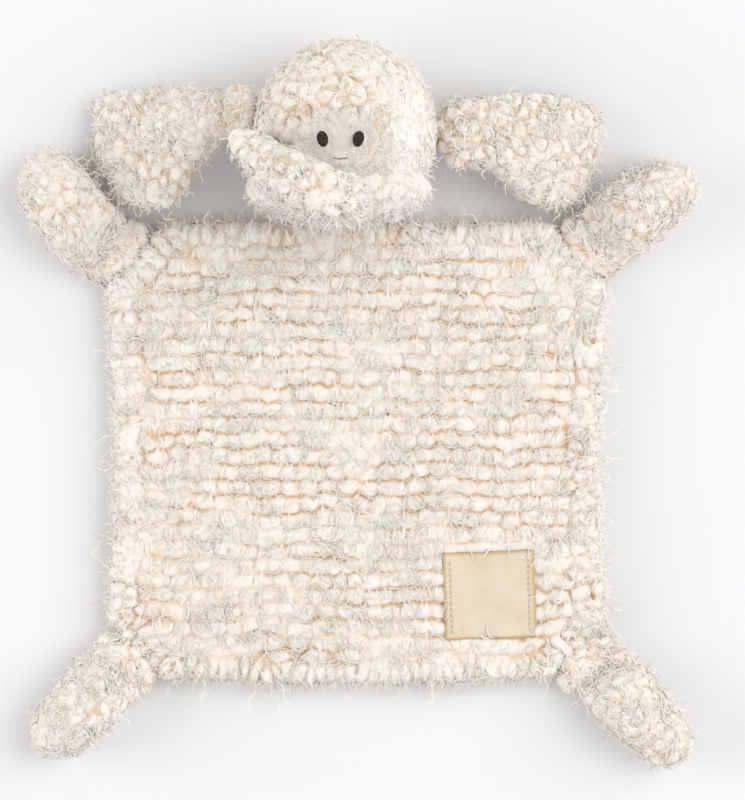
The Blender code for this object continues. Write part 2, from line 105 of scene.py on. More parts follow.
# Tip and root colours of the finer yarns; each darker root colour is painted shade where a strand leaves the
# cloth
GOLD = (0.92, 0.82, 0.67), (0.74, 0.55, 0.33)
EAR_ROOT = (0.88, 0.75, 0.55), (0.62, 0.43, 0.20)
KNIT = (0.86, 0.68, 0.44), (0.72, 0.50, 0.26)
NAP = (0.99, 0.955, 0.89), (0.96, 0.90, 0.80)


# Sizes and colours


def length(name, description, default):
    return FloatProperty(name=name, description=description, default=default, unit="LENGTH")


def count(name, description, default):
    return IntProperty(name=name, description=description, default=default, min=0)


def colour(name, description, default):
    return FloatVectorProperty(name=name, description=description, default=default, size=3, subtype="COLOR")


class PileSettings(bpy.types.PropertyGroup):
    """The blanket's tufted cloth, which the head, ears and paws share."""

    row_pitch: length("Row pitch", "From one row of tufts to the next", 0.0094)
    tuft_width: length("Tuft width", "Usual width of a tuft along its row", 0.0100)
    tuft_depth: length("Tuft depth", "From a crease up to a tuft's top", 0.0040)
    grid: length("Grid", "Spacing of the points that carry the tufts", 0.00118)
    border: length("Border", "Width of the fluffier strip along the blanket's edge", 0.017)
    tuft_colour: colour("Tuft", "Colour of the tufts' tops", (0.937, 0.903, 0.865))
    # painted shade: the finish lays this colour on the tufts' low sides and in the creases, where shade
    # falls, and on some tufts at random
    shade_colour: colour("Warm tone and painted shade", "Colour of warmer tufts and of the shade painted on each tuft's low sides", (0.905, 0.785, 0.662))
    crease_colour: colour("Crease", "Colour of the backing between tufts", (0.74, 0.48, 0.26))


class YarnSettings(bpy.types.PropertyGroup):
    """The loose yarn on the pile and the fur on the head and trunk."""

    loose_count: count("Loose yarns", "How many lie over the blanket", 1500)
    loose_length: length("Yarn length", "Usual length of a loose yarn", 0.024)
    loose_radius: length("Yarn radius", "Half the thickness of a loose yarn", 0.00031)
    loop_pitch: length("Loop pitch", "From one yarn loop to the next along a row", 0.0025)
    loop_radius: length("Loop radius", "Half the thickness of the yarn in a loop", 0.00110)
    curl_count: count("Curls", "How many curly ends the blanket's tufts have", 1700)
    hair_length: length("Hair length", "Usual length of a tuft's curly ends", 0.0090)
    hair_radius: length("Hair radius", "Half the thickness of a curly end", 0.00030)
    lock_count: count("Locks", "How many thick locks the head's cheek and chin have", 800)
    fur_count: count("Fur", "How many fine strands of fur the head has", 2600)
    fur_length: length("Fur length", "Longest fur, on the cheek and chin", 0.019)
    yarn_colour: colour("Yarn", "Colour of the loose yarn", (0.97, 0.94, 0.89))
    # painted shade: loose yarn darkens to this colour where it leaves the cloth
    yarn_root_colour: colour("Yarn roots", "Colour of yarn where it leaves the cloth", (0.89, 0.76, 0.60))
    fur_colour: colour("Fur", "Colour of the fur's tips", (0.98, 0.943, 0.888))
    # painted shade: fur and locks darken to this colour where they leave the head
    fur_root_colour: colour("Fur roots", "Colour of the fur where it leaves the head", (0.93, 0.85, 0.74))


class FaceSettings(bpy.types.PropertyGroup):
    """The embroidered face."""

    eye_colour: colour("Eyes", "Colour of the eyes' thread", (0.034, 0.029, 0.025))
    mouth_colour: colour("Mouth", "Colour of the mouth's thread", (0.33, 0.28, 0.17))
    face_colour: colour("Face", "Colour of the face's short pile", (0.945, 0.88, 0.778))
    thread_radius: length("Thread radius", "Half the thickness of the eyes' thread", 0.00042)
    face_half_width: length("Face half width", "Half the width of the short-pile face", 0.0175)
    face_half_length: length("Face half length", "Half the height of the short-pile face", 0.0125)


class LabelSettings(bpy.types.PropertyGroup):
    """The bare woven label."""

    cloth_colour: colour("Label", "Colour of the label's weave", (0.865, 0.783, 0.65))
    edge_colour: colour("Label edge", "Colour of the label's folded edges", (0.66, 0.46, 0.22))
    thread_colour: colour("Label thread", "Colour of the running stitches", (0.60, 0.45, 0.26))
    threads_per_metre: FloatProperty(
        name="Weave", description="Threads of the label's weave in a metre", default=2400.0
    )


class StageSettings(bpy.types.PropertyGroup):
    """Floor, light and camera."""

    floor_colour: colour("Floor", "Colour of the floor", (0.825, 0.832, 0.846))
    camera_height: length("Camera height", "How far above the blanket the camera is", 2.4)
    camera_forward: length("Camera forward", "How far it stands off the middle, towards the head", 0.125)
    view_height: length("View height", "How much of the table the picture's height takes in", 0.480)
    sky_strength: FloatProperty(
        name="Sky", description="Brightness of the light from all round", default=0.625
    )
    key_power: FloatProperty(
        name="Key light", description="Power of the main light", default=117.0, unit="POWER"
    )


# Small helpers for objects and meshes


def settings(name):
    return getattr(bpy.context.scene, "lovey_" + name)


def work_on(piece):
    """Makes one piece the only selected and active object, in object mode."""
    if bpy.context.mode != "OBJECT":
        bpy.ops.object.mode_set(mode="OBJECT")
    bpy.ops.object.select_all(action="DESELECT")
    piece.select_set(True)
    bpy.context.view_layer.objects.active = piece


def select_faces(piece, chosen):
    """Enters edit mode with only the chosen faces selected."""
    work_on(piece)
    bpy.context.tool_settings.mesh_select_mode = (False, False, True)
    mesh = piece.data
    mesh.vertices.foreach_set("select", np.zeros(len(mesh.vertices), bool))
    mesh.edges.foreach_set("select", np.zeros(len(mesh.edges), bool))
    mesh.polygons.foreach_set("select", np.array(chosen, bool))
    bpy.ops.object.mode_set(mode="EDIT")


def add(primitive, name, scale=(1, 1, 1), **options):
    """A primitive with its place, turn and scale in its mesh."""
    bpy.ops.object.select_all(action="DESELECT")
    primitive(**options)
    piece = bpy.context.active_object
    piece.name = piece.data.name = name
    piece.scale = scale
    bpy.ops.object.transform_apply(location=True, rotation=True, scale=True)
    return piece


def apply_modifiers(piece):
    work_on(piece)
    for modifier in list(piece.modifiers):
        bpy.ops.object.modifier_apply(modifier=modifier.name)


def read_points(piece, what):
    values = np.empty(len(piece.data.vertices) * 3)
    piece.data.vertices.foreach_get(what, values)
    return values.reshape(-1, 3)


def points_of(piece):
    return read_points(piece, "co")


def normals_of(piece):
    return read_points(piece, "normal")


def solid(node):
    return points_of(frame["nodes"][node])


def set_points(piece, points):
    piece.data.vertices.foreach_set("co", np.asarray(points, np.float32).ravel())
    piece.data.update()


def store(piece, name, values):
    attributes = piece.data.attributes
    attribute = attributes.get(name) or attributes.new(name, "FLOAT", "POINT")
    attribute.data.foreach_set("value", np.asarray(values, np.float32))


def fetch(piece, name):
    values = np.empty(len(piece.data.vertices), np.float32)
    piece.data.attributes[name].data.foreach_get("value", values)
    return values


def unit(vectors):
    return vectors / np.maximum(np.linalg.norm(vectors, axis=-1, keepdims=True), 1e-9)


def smooth_step(low, high, values):
    share = np.clip((values - low) / (high - low), 0, 1)
    return share * share * (3 - 2 * share)


def drift(points, pitch, seed):
    """Smooth noise from -1 to 1 that changes over about one pitch."""
    shift = Vector((seed * 7.3, seed * 3.1, seed * 5.7))
    return np.array([noise.noise(Vector(p) / pitch + shift) for p in points])


def nearest_of(points):
    """A tree that finds the nearest of the points."""
    tree = KDTree(len(points))
    for index, point in enumerate(points):
        tree.insert(point, index)
    tree.balance()
    return tree


def joint_named(name):
    return next(joint for joint in frame["joints"] if joint["name"] == name)


def middle_of(*nodes):
    corners = [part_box(node) for node in nodes]
    return sum(((low + high) / 2 for low, high in corners), Vector()) / len(corners)


def mesh_object(name, points, faces, finish):
    """An object from arrays of points and of three- or four-sided faces."""
    mesh = bpy.data.meshes.new(name)
    mesh.vertices.add(len(points))
    mesh.vertices.foreach_set("co", np.asarray(points, np.float32).ravel())
    corners = np.concatenate([f.ravel() for f in faces]).astype(np.int32)
    sizes = np.concatenate([np.full(len(f), f.shape[1], np.int32) for f in faces])
    starts = np.concatenate([[0], np.cumsum(sizes)[:-1]]).astype(np.int32)
    mesh.loops.add(len(corners))
    mesh.loops.foreach_set("vertex_index", corners)
    mesh.polygons.add(len(sizes))
    mesh.polygons.foreach_set("loop_start", starts)
    mesh.polygons.foreach_set("loop_total", sizes)
    mesh.polygons.foreach_set("use_smooth", np.ones(len(sizes), bool))
    mesh.update(calc_edges=True)
    mesh.materials.append(finish)
    piece = bpy.data.objects.new(name, mesh)
    bpy.context.scene.collection.objects.link(piece)
    return piece


def dress(piece, finish, slot, body, *nodes):
    """Gives a piece its finish and the body it rides on, if it has one, and hides the solids it stands for.
    """
    if finish is not None:
        piece.data.materials.clear()
        piece.data.materials.append(finish)
    if body is not None:
        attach(piece, body)
    if nodes:
        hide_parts(*nodes)
    return piece


# Shaders


class Signal:
    """A number or colour that varies over a surface; arithmetic on it adds Math nodes."""

    def __init__(self, finish, socket):
        self.finish = finish
        self.socket = socket

    def maths(self, operation, first, second=0.0, clamp=False):
        return self.finish.node(
            "ShaderNodeMath", {"operation": operation, "use_clamp": clamp}, {0: first, 1: second}
        )

    def __add__(self, other):
        return self.maths("ADD", self, other)

    def __sub__(self, other):
        return self.maths("SUBTRACT", self, other)

    def __rsub__(self, other):
        return self.maths("SUBTRACT", other, self)

    def __mul__(self, other):
        return self.maths("MULTIPLY", self, other)

    __radd__ = __add__
    __rmul__ = __mul__

    def clamped(self):
        return self.maths("ADD", self, clamp=True)

    def sine(self):
        return self.finish.node("ShaderNodeMath", {"operation": "SINE"}, {0: self})


class Finish:
    """A material in the making: a Principled surface and the nodes that vary it."""

    def __init__(self, name, roughness, **constants):
        self.material = bpy.data.materials.new(name)
        self.material.use_nodes = True
        self.tree = self.material.node_tree
        self.surface = self.tree.nodes["Principled BSDF"]
        self.set("Roughness", roughness)
        for socket_name, value in constants.items():
            self.set(socket_name.replace("_", " "), value)

    def node(self, kind, settings=None, inputs=None, output=0):
        made = self.tree.nodes.new(kind)
        for name, value in (settings or {}).items():
            setattr(made, name, value)
        for name, value in (inputs or {}).items():
            self.feed(made.inputs[name], value)
        return Signal(self, made.outputs[output])

    def feed(self, socket, value):
        if isinstance(value, Signal):
            self.tree.links.new(value.socket, socket)
        elif socket.type == "RGBA":
            socket.default_value = (*value[:3], 1.0)
        else:
            socket.default_value = value

    def set(self, socket_name, value):
        self.feed(self.surface.inputs[socket_name], value)

    def place(self, stretch=(1.0, 1.0, 1.0), turn=0.0):
        """The point on the piece, stretched and turned about Z for a pattern."""
        point = self.node("ShaderNodeTexCoord", output="Object")
        inputs = {"Vector": point, "Scale": stretch, "Rotation": (0.0, 0.0, turn)}
        return self.node("ShaderNodeMapping", {}, inputs)

    def attribute(self, name):
        return self.node("ShaderNodeAttribute", {"attribute_name": name}, output="Fac")

    def mottle(self, place, scale, detail=2.0, distortion=0.0):
        inputs = {"Vector": place, "Scale": scale, "Detail": detail, "Distortion": distortion}
        return self.node("ShaderNodeTexNoise", {}, inputs)

    def mix(self, share, first, second):
        return self.node("ShaderNodeMix", {"data_type": "RGBA"}, {0: share, 6: first, 7: second}, output=2)

    def bump(self, height, distance, strength=0.5):
        inputs = {"Height": height, "Distance": distance, "Strength": strength}
        self.set("Normal", self.node("ShaderNodeBump", {}, inputs))


def pile_finish(name, tuft=None, face=None):
    """Nubbly pile: pale tufts, some warmer, with warm shade painted on their low sides, over a tan backing
    that shows in the creases.
    """
    pile = settings("pile")
    finish = Finish(name, 0.95, **SOFT)
    place = finish.place()
    spread = (finish.mottle(place, 85.0, 3.0) * 0.9 - 0.36) * finish.attribute("inner")
    # painted shade: the lower a point sits on its tuft, the more of the warm shade colour it takes; tone and
    # spread add warmth at random
    warmth = (finish.attribute("low") * 0.75 + finish.attribute("tone") * 0.35 + spread).clamped()
    shown = finish.mix(warmth, pile.tuft_colour if tuft is None else tuft, pile.shade_colour)
    patchy = (finish.mottle(place, 260.0) * 1.2 + 0.25).clamped()
    shown = finish.mix((finish.attribute("crease") * patchy).clamped(), shown, pile.crease_colour)
    if face is not None:
        nap = finish.mix((finish.mottle(place, 140.0) * 3.0 - 1.0).clamped(), face, (0.99, 0.965, 0.92))
        shown = finish.mix(finish.attribute("face"), shown, nap)
    finish.set("Base Color", shown)
    nubs = finish.mottle(place, 620.0, 4.0, 1.4)
    finish.bump(nubs * 0.9 + finish.mottle(place, 1700.0) * 0.25, 0.0010, 0.7)
    return finish.material


def loop_finish(name, furry=False):
    """Thick soft yarn: pale and fuzzy, some loops warmer at random, with shade painted in the crease colour
    where it goes down into the pile.
    """
    pile, yarn = settings("pile"), settings("yarn")
    tip, shade, root = pile.tuft_colour, pile.shade_colour, pile.crease_colour
    if furry:
        tip, shade, root = yarn.fur_colour, pile.tuft_colour, yarn.fur_root_colour
    finish = Finish(name, 0.95, **SOFT)
    place = finish.place()
    broad = finish.mottle(place, 85.0, 3.0)
    shown = finish.mix((finish.attribute("tone") * 0.8 + broad - 0.55).clamped(), tip, shade)
    # painted shade: the ends of a loop, where it dips into the creases, take the crease colour, broken up by
    # the mottle
    ends = ((1.0 - finish.attribute("along")) * 1.1 - 0.45 + (broad - 0.5) * 1.2).clamped()
    finish.set("Base Color", finish.mix(ends * 0.7, shown, root))
    finish.bump(finish.mottle(place, 900.0, 4.0, 1.0), 0.0006, 0.6)
    return finish.material


def strand_finish(name, tip, root):
    """Yarn or fur: pale at the tip, with warm shade painted where it leaves the cloth, and some strands
    warmer at random.
    """
    finish = Finish(name, 0.85, **SOFT)
    share = ((1.0 - finish.attribute("along")) * 0.75 + finish.attribute("tone") * 0.35 - 0.25).clamped()
    finish.set("Base Color", finish.mix(share, tip, root))
    finish.bump(finish.mottle(finish.place(), 2600.0), 0.0002)
    return finish.material


# Soft forms from the solids


def shell(name, nodes, voxel):
    """One closed skin of even faces round the named solids."""
    bm = bmesh.new()
    for node in nodes:
        bm.from_mesh(frame["nodes"][node].data)
    bmesh.ops.remove_doubles(bm, verts=bm.verts, dist=1e-6)
    mesh = bpy.data.meshes.new(name)
    bm.to_mesh(mesh)
    bm.free()
    piece = bpy.data.objects.new(name, mesh)
    bpy.context.scene.collection.objects.link(piece)
    even_faces(piece, voxel)
    return piece


def even_faces(piece, voxel):
    remesh = piece.modifiers.new("even_faces", "REMESH")
    remesh.mode = "VOXEL"
    remesh.voxel_size = voxel
    remesh.use_smooth_shade = True
    apply_modifiers(piece)
    keep_largest(piece)


def keep_largest(piece):
    """Drops any bubble that is closed in inside the skin."""
    bm = bmesh.new()
    bm.from_mesh(piece.data)
    left, islands = set(bm.verts), []
    while left:
        edge = [left.pop()]
        island = set(edge)
        while edge:
            near = {vert for link in edge.pop().link_edges for vert in link.verts} & left
            left -= near
            island |= near
            edge.extend(near)
        islands.append(island)
    islands.sort(key=len)
    for island in islands[:-1]:
        bmesh.ops.delete(bm, geom=list(island), context="VERTS")
    bm.to_mesh(piece.data)
    bm.free()


def plump(piece, shrink, most):
    """Draws the skin in a little, blows it up as simulated cloth, and caps how far a point moves."""
    start = points_of(piece)
    set_points(piece, start - normals_of(piece) * shrink)
    cloth = piece.modifiers.new("cloth", "CLOTH")
    cloth.settings.quality = 5
    cloth.settings.use_pressure = True
    cloth.settings.uniform_pressure_force = 4.0
    cloth.settings.effector_weights.gravity = 0.0
    cloth.point_cache.frame_start = 1
    cloth.point_cache.frame_end = 20
    for moment in range(1, 21):
        bpy.context.scene.frame_set(moment)
    apply_modifiers(piece)
    bpy.context.scene.frame_set(1)
    moved = points_of(piece) - start
    far = np.linalg.norm(moved, axis=1, keepdims=True)
    resting = start + moved * np.minimum(1, most / np.maximum(far, 1e-9))
    resting[:, 2] = np.maximum(resting[:, 2], TABLE)
    set_points(piece, resting)


def soft_form(name, nodes, inset, grid=FINE):
    """A stuffed piece: the solids' form, swollen as cloth, then evened to the tufts' grid."""
    piece = shell(name, nodes, 0.004)
    soften = piece.modifiers.new("soften", "SMOOTH")
    soften.factor = 0.5
    soften.iterations = 3
    apply_modifiers(piece)
    plump(piece, shrink=0.0012, most=0.0025)
    finer = piece.modifiers.new("finer", "SUBSURF")
    finer.levels = finer.render_levels = 1
    apply_modifiers(piece)
    even_faces(piece, grid)
    set_points(piece, points_of(piece) - normals_of(piece) * inset)
    return piece


# Tufts


def scatter(points, spacing, source, keep=None):
    """Chosen points that stay about one spacing apart."""
    chosen, apart, picked = np.empty((0, 3)), np.empty(0), []
    for index in source.permutation(len(points)):
        if keep is not None and not keep[index]:
            continue
        room = spacing * source.uniform(0.85, 1.2)
        if len(chosen) and (np.linalg.norm(chosen - points[index], axis=1) < (apart + room) / 2).any():
            continue
        chosen = np.vstack([chosen, points[index]])
        apart = np.append(apart, room)
        picked.append(index)
    return points[picked]


def tuft_shape(points, seeds, rows, side_hold, stretch, round_off):
    """Each point's height on its tuft, from 0 in a crease to 1 on top, and the tuft it is on.

    Creases between tufts of the same row are shallower, by side_hold.
    """
    tree = nearest_of(seeds * stretch)
    found = [tree.find_n(p, NEAR_TUFTS) for p in points * stretch]
    far = np.array([[f[2] for f in row] for row in found])
    which = np.array([[f[1] for f in row] for row in found])
    border = (far[:, 1:] - far[:, :1]) / (far[:, 1:] + far[:, :1] + 1e-9)
    dome = 1 - (1 - np.clip(border * 1.2, 0, 1)) ** round_off
    hold = np.where(rows[which[:, 1:]] == rows[which[:, :1]], side_hold[:, None], 1.0)
    return (1 - hold * (1 - dome)).min(axis=1), which[:, 0]


def raise_tufts(
    piece, seeds, depth, source, rows=None, side_hold=1.0, stretch=(1.0, 1.0, 1.0), level=(1.0, 1.0),
    round_off=2.0, wander=0.0024,
):
    """Moves the skin out to tufts along its normals, and notes creases and tone for the finish.

    The level says how high the tufts rise and how strongly their creases, painted shade and tones show.
    """
    if rows is None:
        rows = np.arange(len(seeds))
    rising, showing = level
    points = points_of(piece)
    bent = points + np.stack([drift(points, 0.0065, k) for k in (1, 2, 3)], axis=1) * wander
    runs = drift(points * (1.0, 2.2, 1.0), 0.022, 8) + 0.7 * drift(points * (1.0, 1.6, 1.0), 0.060, 12)
    runs = smooth_step(-0.30, 0.40, runs)
    hold = side_hold * (0.35 + 0.65 * smooth_step(-0.4, 0.4, drift(points, 0.017, 9)))
    height, tuft = tuft_shape(bent, seeds, rows, hold, stretch, round_off)
    height = 1 - (1 - height) * (0.50 + 0.50 * runs)
    size = source.uniform(0.75, 1.15, len(seeds))[tuft]
    lumps = drift(points, 0.0034, 5) * 0.20 + drift(points, 0.0018, 6) * 0.12
    rise = depth * (height * size + lumps * (0.35 + 0.65 * height)) * rising
    moved = points + normals_of(piece) * rise[:, None]
    moved[:, 2] = np.maximum(moved[:, 2], TABLE)
    set_points(piece, moved)
    store(piece, "crease", smooth_step(0.66, 0.10, height) * (0.30 + 0.70 * runs) * showing)
    # painted shade: low marks the tufts' lower sides and the creases, which the finish paints with the warm
    # shade colour
    store(piece, "low", smooth_step(0.92, 0.30, height) * showing)
    store(piece, "inner", np.ones(len(points)) * showing)
    store(piece, "tone", source.uniform(0, 1, len(seeds))[tuft] * showing)


def tuft_all_over(piece, spacing, depth, source, warmth=0.6, wander=0.0024):
    """Raises tufts that stay about one spacing apart all over a skin."""
    seeds = scatter(points_of(piece), spacing, source)
    raise_tufts(piece, seeds, depth, source, level=(1.0, warmth), wander=wander)


def calm(piece, share=0.6, rounds=14):
    """Shades a pile skin as soft fibres: its normals turn part of the way to those of the form below."""
    mesh = piece.data
    ends = np.empty(len(mesh.edges) * 2, np.int32)
    mesh.edges.foreach_get("vertices", ends)
    one, two = ends.reshape(-1, 2).T
    own = normals_of(piece)
    broad = own.copy()
    for _ in range(rounds):
        total = broad.copy()
        for k in range(3):
            total[:, k] += (
                np.bincount(one, broad[two, k], len(own)) + np.bincount(two, broad[one, k], len(own))
            )
        broad = unit(total)
    mesh.normals_split_custom_set_from_vertices(unit(own * (1 - share) + broad * share))


def tufted_ball(name, place, turn, radii, body, slot, source, depth, warmth=0.7):
    """A small stuffed ball of pile, longer along one way, tufted all over."""
    piece = add(
        bpy.ops.mesh.primitive_uv_sphere_add, name, radii,
        segments=32, ring_count=20, radius=1.0, location=place, rotation=(0, 0, turn),
    )
    points = points_of(piece)
    points[:, 2] = np.maximum(points[:, 2], TABLE)
    set_points(piece, points)
    even_faces(piece, 0.0012)
    tuft_all_over(piece, 0.0078, depth, source, warmth)
    dress(piece, pile_finish(name), slot, body)
    return piece


# Strands


def ground(*pieces):
    """The skin of one or more pieces as something strands can be laid on."""
    bm = bmesh.new()
    for piece in pieces:
        bm.from_mesh(piece.data)
    tree = BVHTree.FromBMesh(bm)
    bm.free()
    return tree


def strands(name, spines, radii, tones, finish, sides=3, both_ends=False, up=None, blend=0.6):
    """One mesh of round strands; spines is strand by point by coordinate.

    The attribute "along" is 0 where a strand leaves the cloth, which is at both ends of a loop. Strands that
    are given the cloth's direction up are shaded as part of it, as soft fibres that light passes through.
    """
    count, steps, _ = spines.shape
    forward = unit(np.gradient(spines, axis=1))
    hint = np.where(np.abs(forward[:, :1, 2:]) > 0.8, (1.0, 0.0, 0.0), (0.0, 0.0, 1.0))
    side = unit(np.cross(forward, hint))
    over = np.cross(side, forward)
    turns = 2 * math.pi * (np.arange(sides) + 0.5) / sides
    ring = side[:, :, None] * np.cos(turns)[None, None, :, None]
    ring = ring + over[:, :, None] * np.sin(turns)[None, None, :, None]
    points = spines[:, :, None] + ring * radii[:, :, None, None]
    points[..., 2] = np.maximum(points[..., 2], TABLE / 2)
    index = np.arange(count * steps * sides).reshape(count, steps, sides)
    after = np.roll(index, -1, axis=2)
    walls = np.stack([index[:, :-1], index[:, 1:], after[:, 1:], after[:, :-1]], axis=-1).reshape(-1, 4)
    ends = np.concatenate([index[:, 0], index[:, -1, ::-1]]).reshape(-1, sides)
    piece = mesh_object(name, points.reshape(-1, 3), [walls, ends], finish)
    if up is not None:
        up = unit(np.broadcast_to(up if up.ndim == 3 else up[:, None], spines.shape) + (0.0, 0.0, 0.8))
        soft = unit(ring * (1 - blend) + up[:, :, None] * blend)
        piece.data.normals_split_custom_set_from_vertices(soft.reshape(-1, 3))
    shares = np.linspace(0, 1, steps)
    if both_ends:
        shares = 1 - (2 * shares - 1) ** 2
    store(piece, "along", np.broadcast_to(shares[None, :, None], (count, steps, sides)).ravel())
    store(piece, "tone", np.repeat(tones, steps * sides))
    return piece


def thicknesses(count, steps, radius, shape, source, least=0.75, rough=False):
    """Radii along strands, each strand a little thicker or thinner, by a shape of places and shares."""
    radii = radius * source.uniform(least, 1.2, (count, 1))
    radii = radii * np.interp(np.linspace(0, 1, steps), *shape)[None]
    return radii * source.uniform(0.82, 1.18, radii.shape) if rough else radii


def growing(roots, directions, lengths, steps, curl, fall, source):
    """Strands that leave their roots, coil a little and fall towards the table."""
    count = len(roots)
    heading = unit(directions)
    one = unit(np.cross(heading, source.normal(size=(count, 3))))
    two = np.cross(heading, one)
    phase = source.uniform(0, 2 * math.pi, (count, 1))
    beat = source.choice((-1, 1), (count, 1)) * source.uniform(0.7, 1.9, (count, 1)) * 2 * math.pi
    bend = curl * source.uniform(0.5, 1.3, (count, 1))
    spine = [roots]
    for step in range(1, steps):
        turn = phase + beat * step / (steps - 1)
        aside = (one * np.cos(turn) + two * np.sin(turn)) * bend
        way = unit(heading + aside + np.array((0, 0, -1.0)) * fall * step / steps)
        spine.append(spine[-1] + way * (lengths / (steps - 1))[:, None])
    spine = np.stack(spine, axis=1)
    spine[..., 2] = np.maximum(spine[..., 2], TABLE * 1.5)
    return spine


def laid(tree, starts, headings, lengths, steps, lift, source, curl=1.0):
    """Strands that wander over a skin, lying on its tufts, and the skin's normals under them."""
    count = len(starts)
    lengths, lift = np.broadcast_to(lengths, count), np.broadcast_to(lift, count)
    bend = source.normal(0, 1.0, count)
    phase = source.uniform(0, 2 * math.pi, count)
    spines, ups = np.empty((count, steps, 3)), np.empty((count, steps, 3))
    for k in range(count):
        point, normal, _, _ = tree.find_nearest(starts[k])
        heading = Vector(headings[k])
        step = lengths[k] / (steps - 1)
        for n in range(steps):
            share = n / (steps - 1)
            height = lift[k] * (0.2 + 1.6 * math.sin(math.pi * min(1, share * 1.05)) ** 0.7)
            spines[k, n] = point + normal * height
            ups[k, n] = normal
            heading = (heading - normal * heading.dot(normal)).normalized()
            turn = curl * (bend[k] * 0.9 + 1.3 * math.sin(phase[k] + 5 * share)) * step / 0.006
            heading = heading * math.cos(turn) + normal.cross(heading) * math.sin(turn)
            near = tree.find_nearest(point + heading * step)
            point, normal = near[0], (normal * 0.5 + near[1] * 0.5).normalized()
    return spines, ups


class Coat:
    """The skins of some pieces, and the yarn and fur that lie on them or grow from the first one."""

    def __init__(self, body, slot, source, *skins):
        yarn = settings("yarn")
        self.body, self.slot, self.source = body, slot, source
        self.points, self.normals = points_of(skins[0]), normals_of(skins[0])
        self.fur = (yarn.fur_colour, yarn.fur_root_colour)
        self.yarn = (yarn.yarn_colour, yarn.yarn_root_colour)
        self.tree = ground(*skins)

    def pick(self, count, weights=None, among=None):
        """The numbers of chosen points, picked more often where the weights are high."""
        among = np.arange(len(self.points)) if among is None else among
        shares = None if weights is None else weights / weights.sum()
        room = len(among) if weights is None else np.count_nonzero(weights)
        return among[self.source.choice(len(among), count, replace=count > room, p=shares)]

    def make(self, name, spines, radii, finish, up, blend=0.6, **shape):
        tones = self.source.uniform(0, 1, len(spines))
        made = strands(name, spines, radii, tones, finish, up=up, blend=blend, **shape)
        return dress(made, None, self.slot, self.body)

    def taper(self, count, steps, radius, tip):
        """Radii that swell a little from the root and thin towards the tip."""
        return thicknesses(count, steps, radius, ((0, 0.2, 0.7, 1), (0.75, 1.0, 0.9, tip)), self.source)

    def sprout(
        self, name, index, headings, lengths, steps, curl, fall, radius, tip=0.5, blend=0.75, colours=None,
        root=ROOT, up=None,
    ):
        """Strands that grow from chosen points."""
        roots = self.points[index] - self.normals[index] * root
        spines = growing(roots, headings, lengths, steps, curl, fall, self.source)
        radii = self.taper(len(index), steps, radius, tip)
        up = self.normals[index] if up is None else up
        return self.make(name, spines, radii, strand_finish(name, *(colours or self.fur)), up, blend)

    def trail(
        self, name, starts, headings, lengths, steps, lift, radius, colours, tip=0.5, blend=0.8, curl=1.0
    ):
        """Strands that lie over the tufts."""
        spines, ups = laid(self.tree, starts, headings, lengths, steps, lift, self.source, curl)
        radii = self.taper(len(starts), steps, radius, tip)
        return self.make(name, spines, radii, strand_finish(name, *colours), ups, blend)

    def loops(self, name, starts, headings, length, thick=1.0, curl=0.22):
        """Loops of thick yarn that arch over the skin, with both ends down in the creases."""
        count, steps, radius = len(starts), 5, thick * settings("yarn").loop_radius
        lengths = length * self.source.uniform(0.8, 1.2, count)
        spines, ups = laid(self.tree, starts, headings, lengths, steps, 0.0, self.source, curl)
        spines = spines - ups * self.source.uniform(0.25, 0.85, (count, 1, 1)) * radius
        shape = (0, 0.2, 0.5, 0.8, 1), (0.55, 0.9, 1.1, 0.9, 0.55)
        radii = thicknesses(count, steps, radius, shape, self.source, rough=True)
        return self.make(name, spines, radii, loop_finish(name), ups, sides=4, both_ends=True)

    def bobbles(self, name, count, length, thick, curl, weights=None, among=None, spread=1.0, way=(0, 0, 0)):
        """Loops at chosen points that head any way, or mostly one way."""
        index = self.pick(count, weights, among)
        headings = self.source.normal(0, spread, (count, 3)) + way
        return self.loops(name, self.points[index], headings, length, thick, curl)

    def combed(self, name, roots, headings, lengths, thick, tip_lift, locks=False, cuff=False):
        """Locks or fine fur combed over the skin, loose and a little raised at the tips.

        The locks of a cuff have the pile's colours, and their tips spring out of it.
        """
        source, count, steps = self.source, len(roots), 5
        spines, ups = laid(self.tree, roots, headings, lengths, steps, 0.0, source, 0.65)
        shares = np.linspace(0, 1, steps)[None, :, None]
        sunk = thick * source.uniform(0.70, 1.05, (count, 1, 1)) * (1 - (1.0 if cuff else 0.25) * shares)
        raised = tip_lift * source.uniform(0.1, 1.0, (count, 1, 1)) ** 1.5 * shares**2
        spines = spines + ups * (raised - sunk)
        spines[..., 2] = np.maximum(spines[..., 2], TABLE * 1.5)
        shape = (0, 0.2, 0.7, 1), (0.75, 1.0, 0.9, 0.4)
        if locks:
            shape = (0, 0.25, 0.7, 1), (0.8, 1.05, 0.85, 0.25)
        finish = loop_finish(name, not cuff) if locks else strand_finish(name, *self.fur)
        radii = thicknesses(count, steps, thick, shape, source, 0.7, rough=True)
        return self.make(name, spines, radii, finish, ups, 0.92, sides=4 if locks else 3)

    def curls(self, name, count, lift, comb=(0, -1, 0), among=None):
        """Short curly ends of yarn that stand off the tufts and lean the way the pile is combed."""
        yarn, index = settings("yarn"), self.pick(count, among=among)
        normals = self.normals[index]
        lean = np.array(comb) * 0.7 + self.source.normal(0, 0.6, (count, 3))
        headings = unit(lean - normals * (lean * normals).sum(1, keepdims=True)) + normals * lift
        lengths = yarn.hair_length * self.source.uniform(0.45, 1.15, count)
        radius = yarn.hair_radius * 1.25
        self.sprout(name, index, headings, lengths, 5, 0.95, 0.25, radius, blend=0.6, root=0.0006)

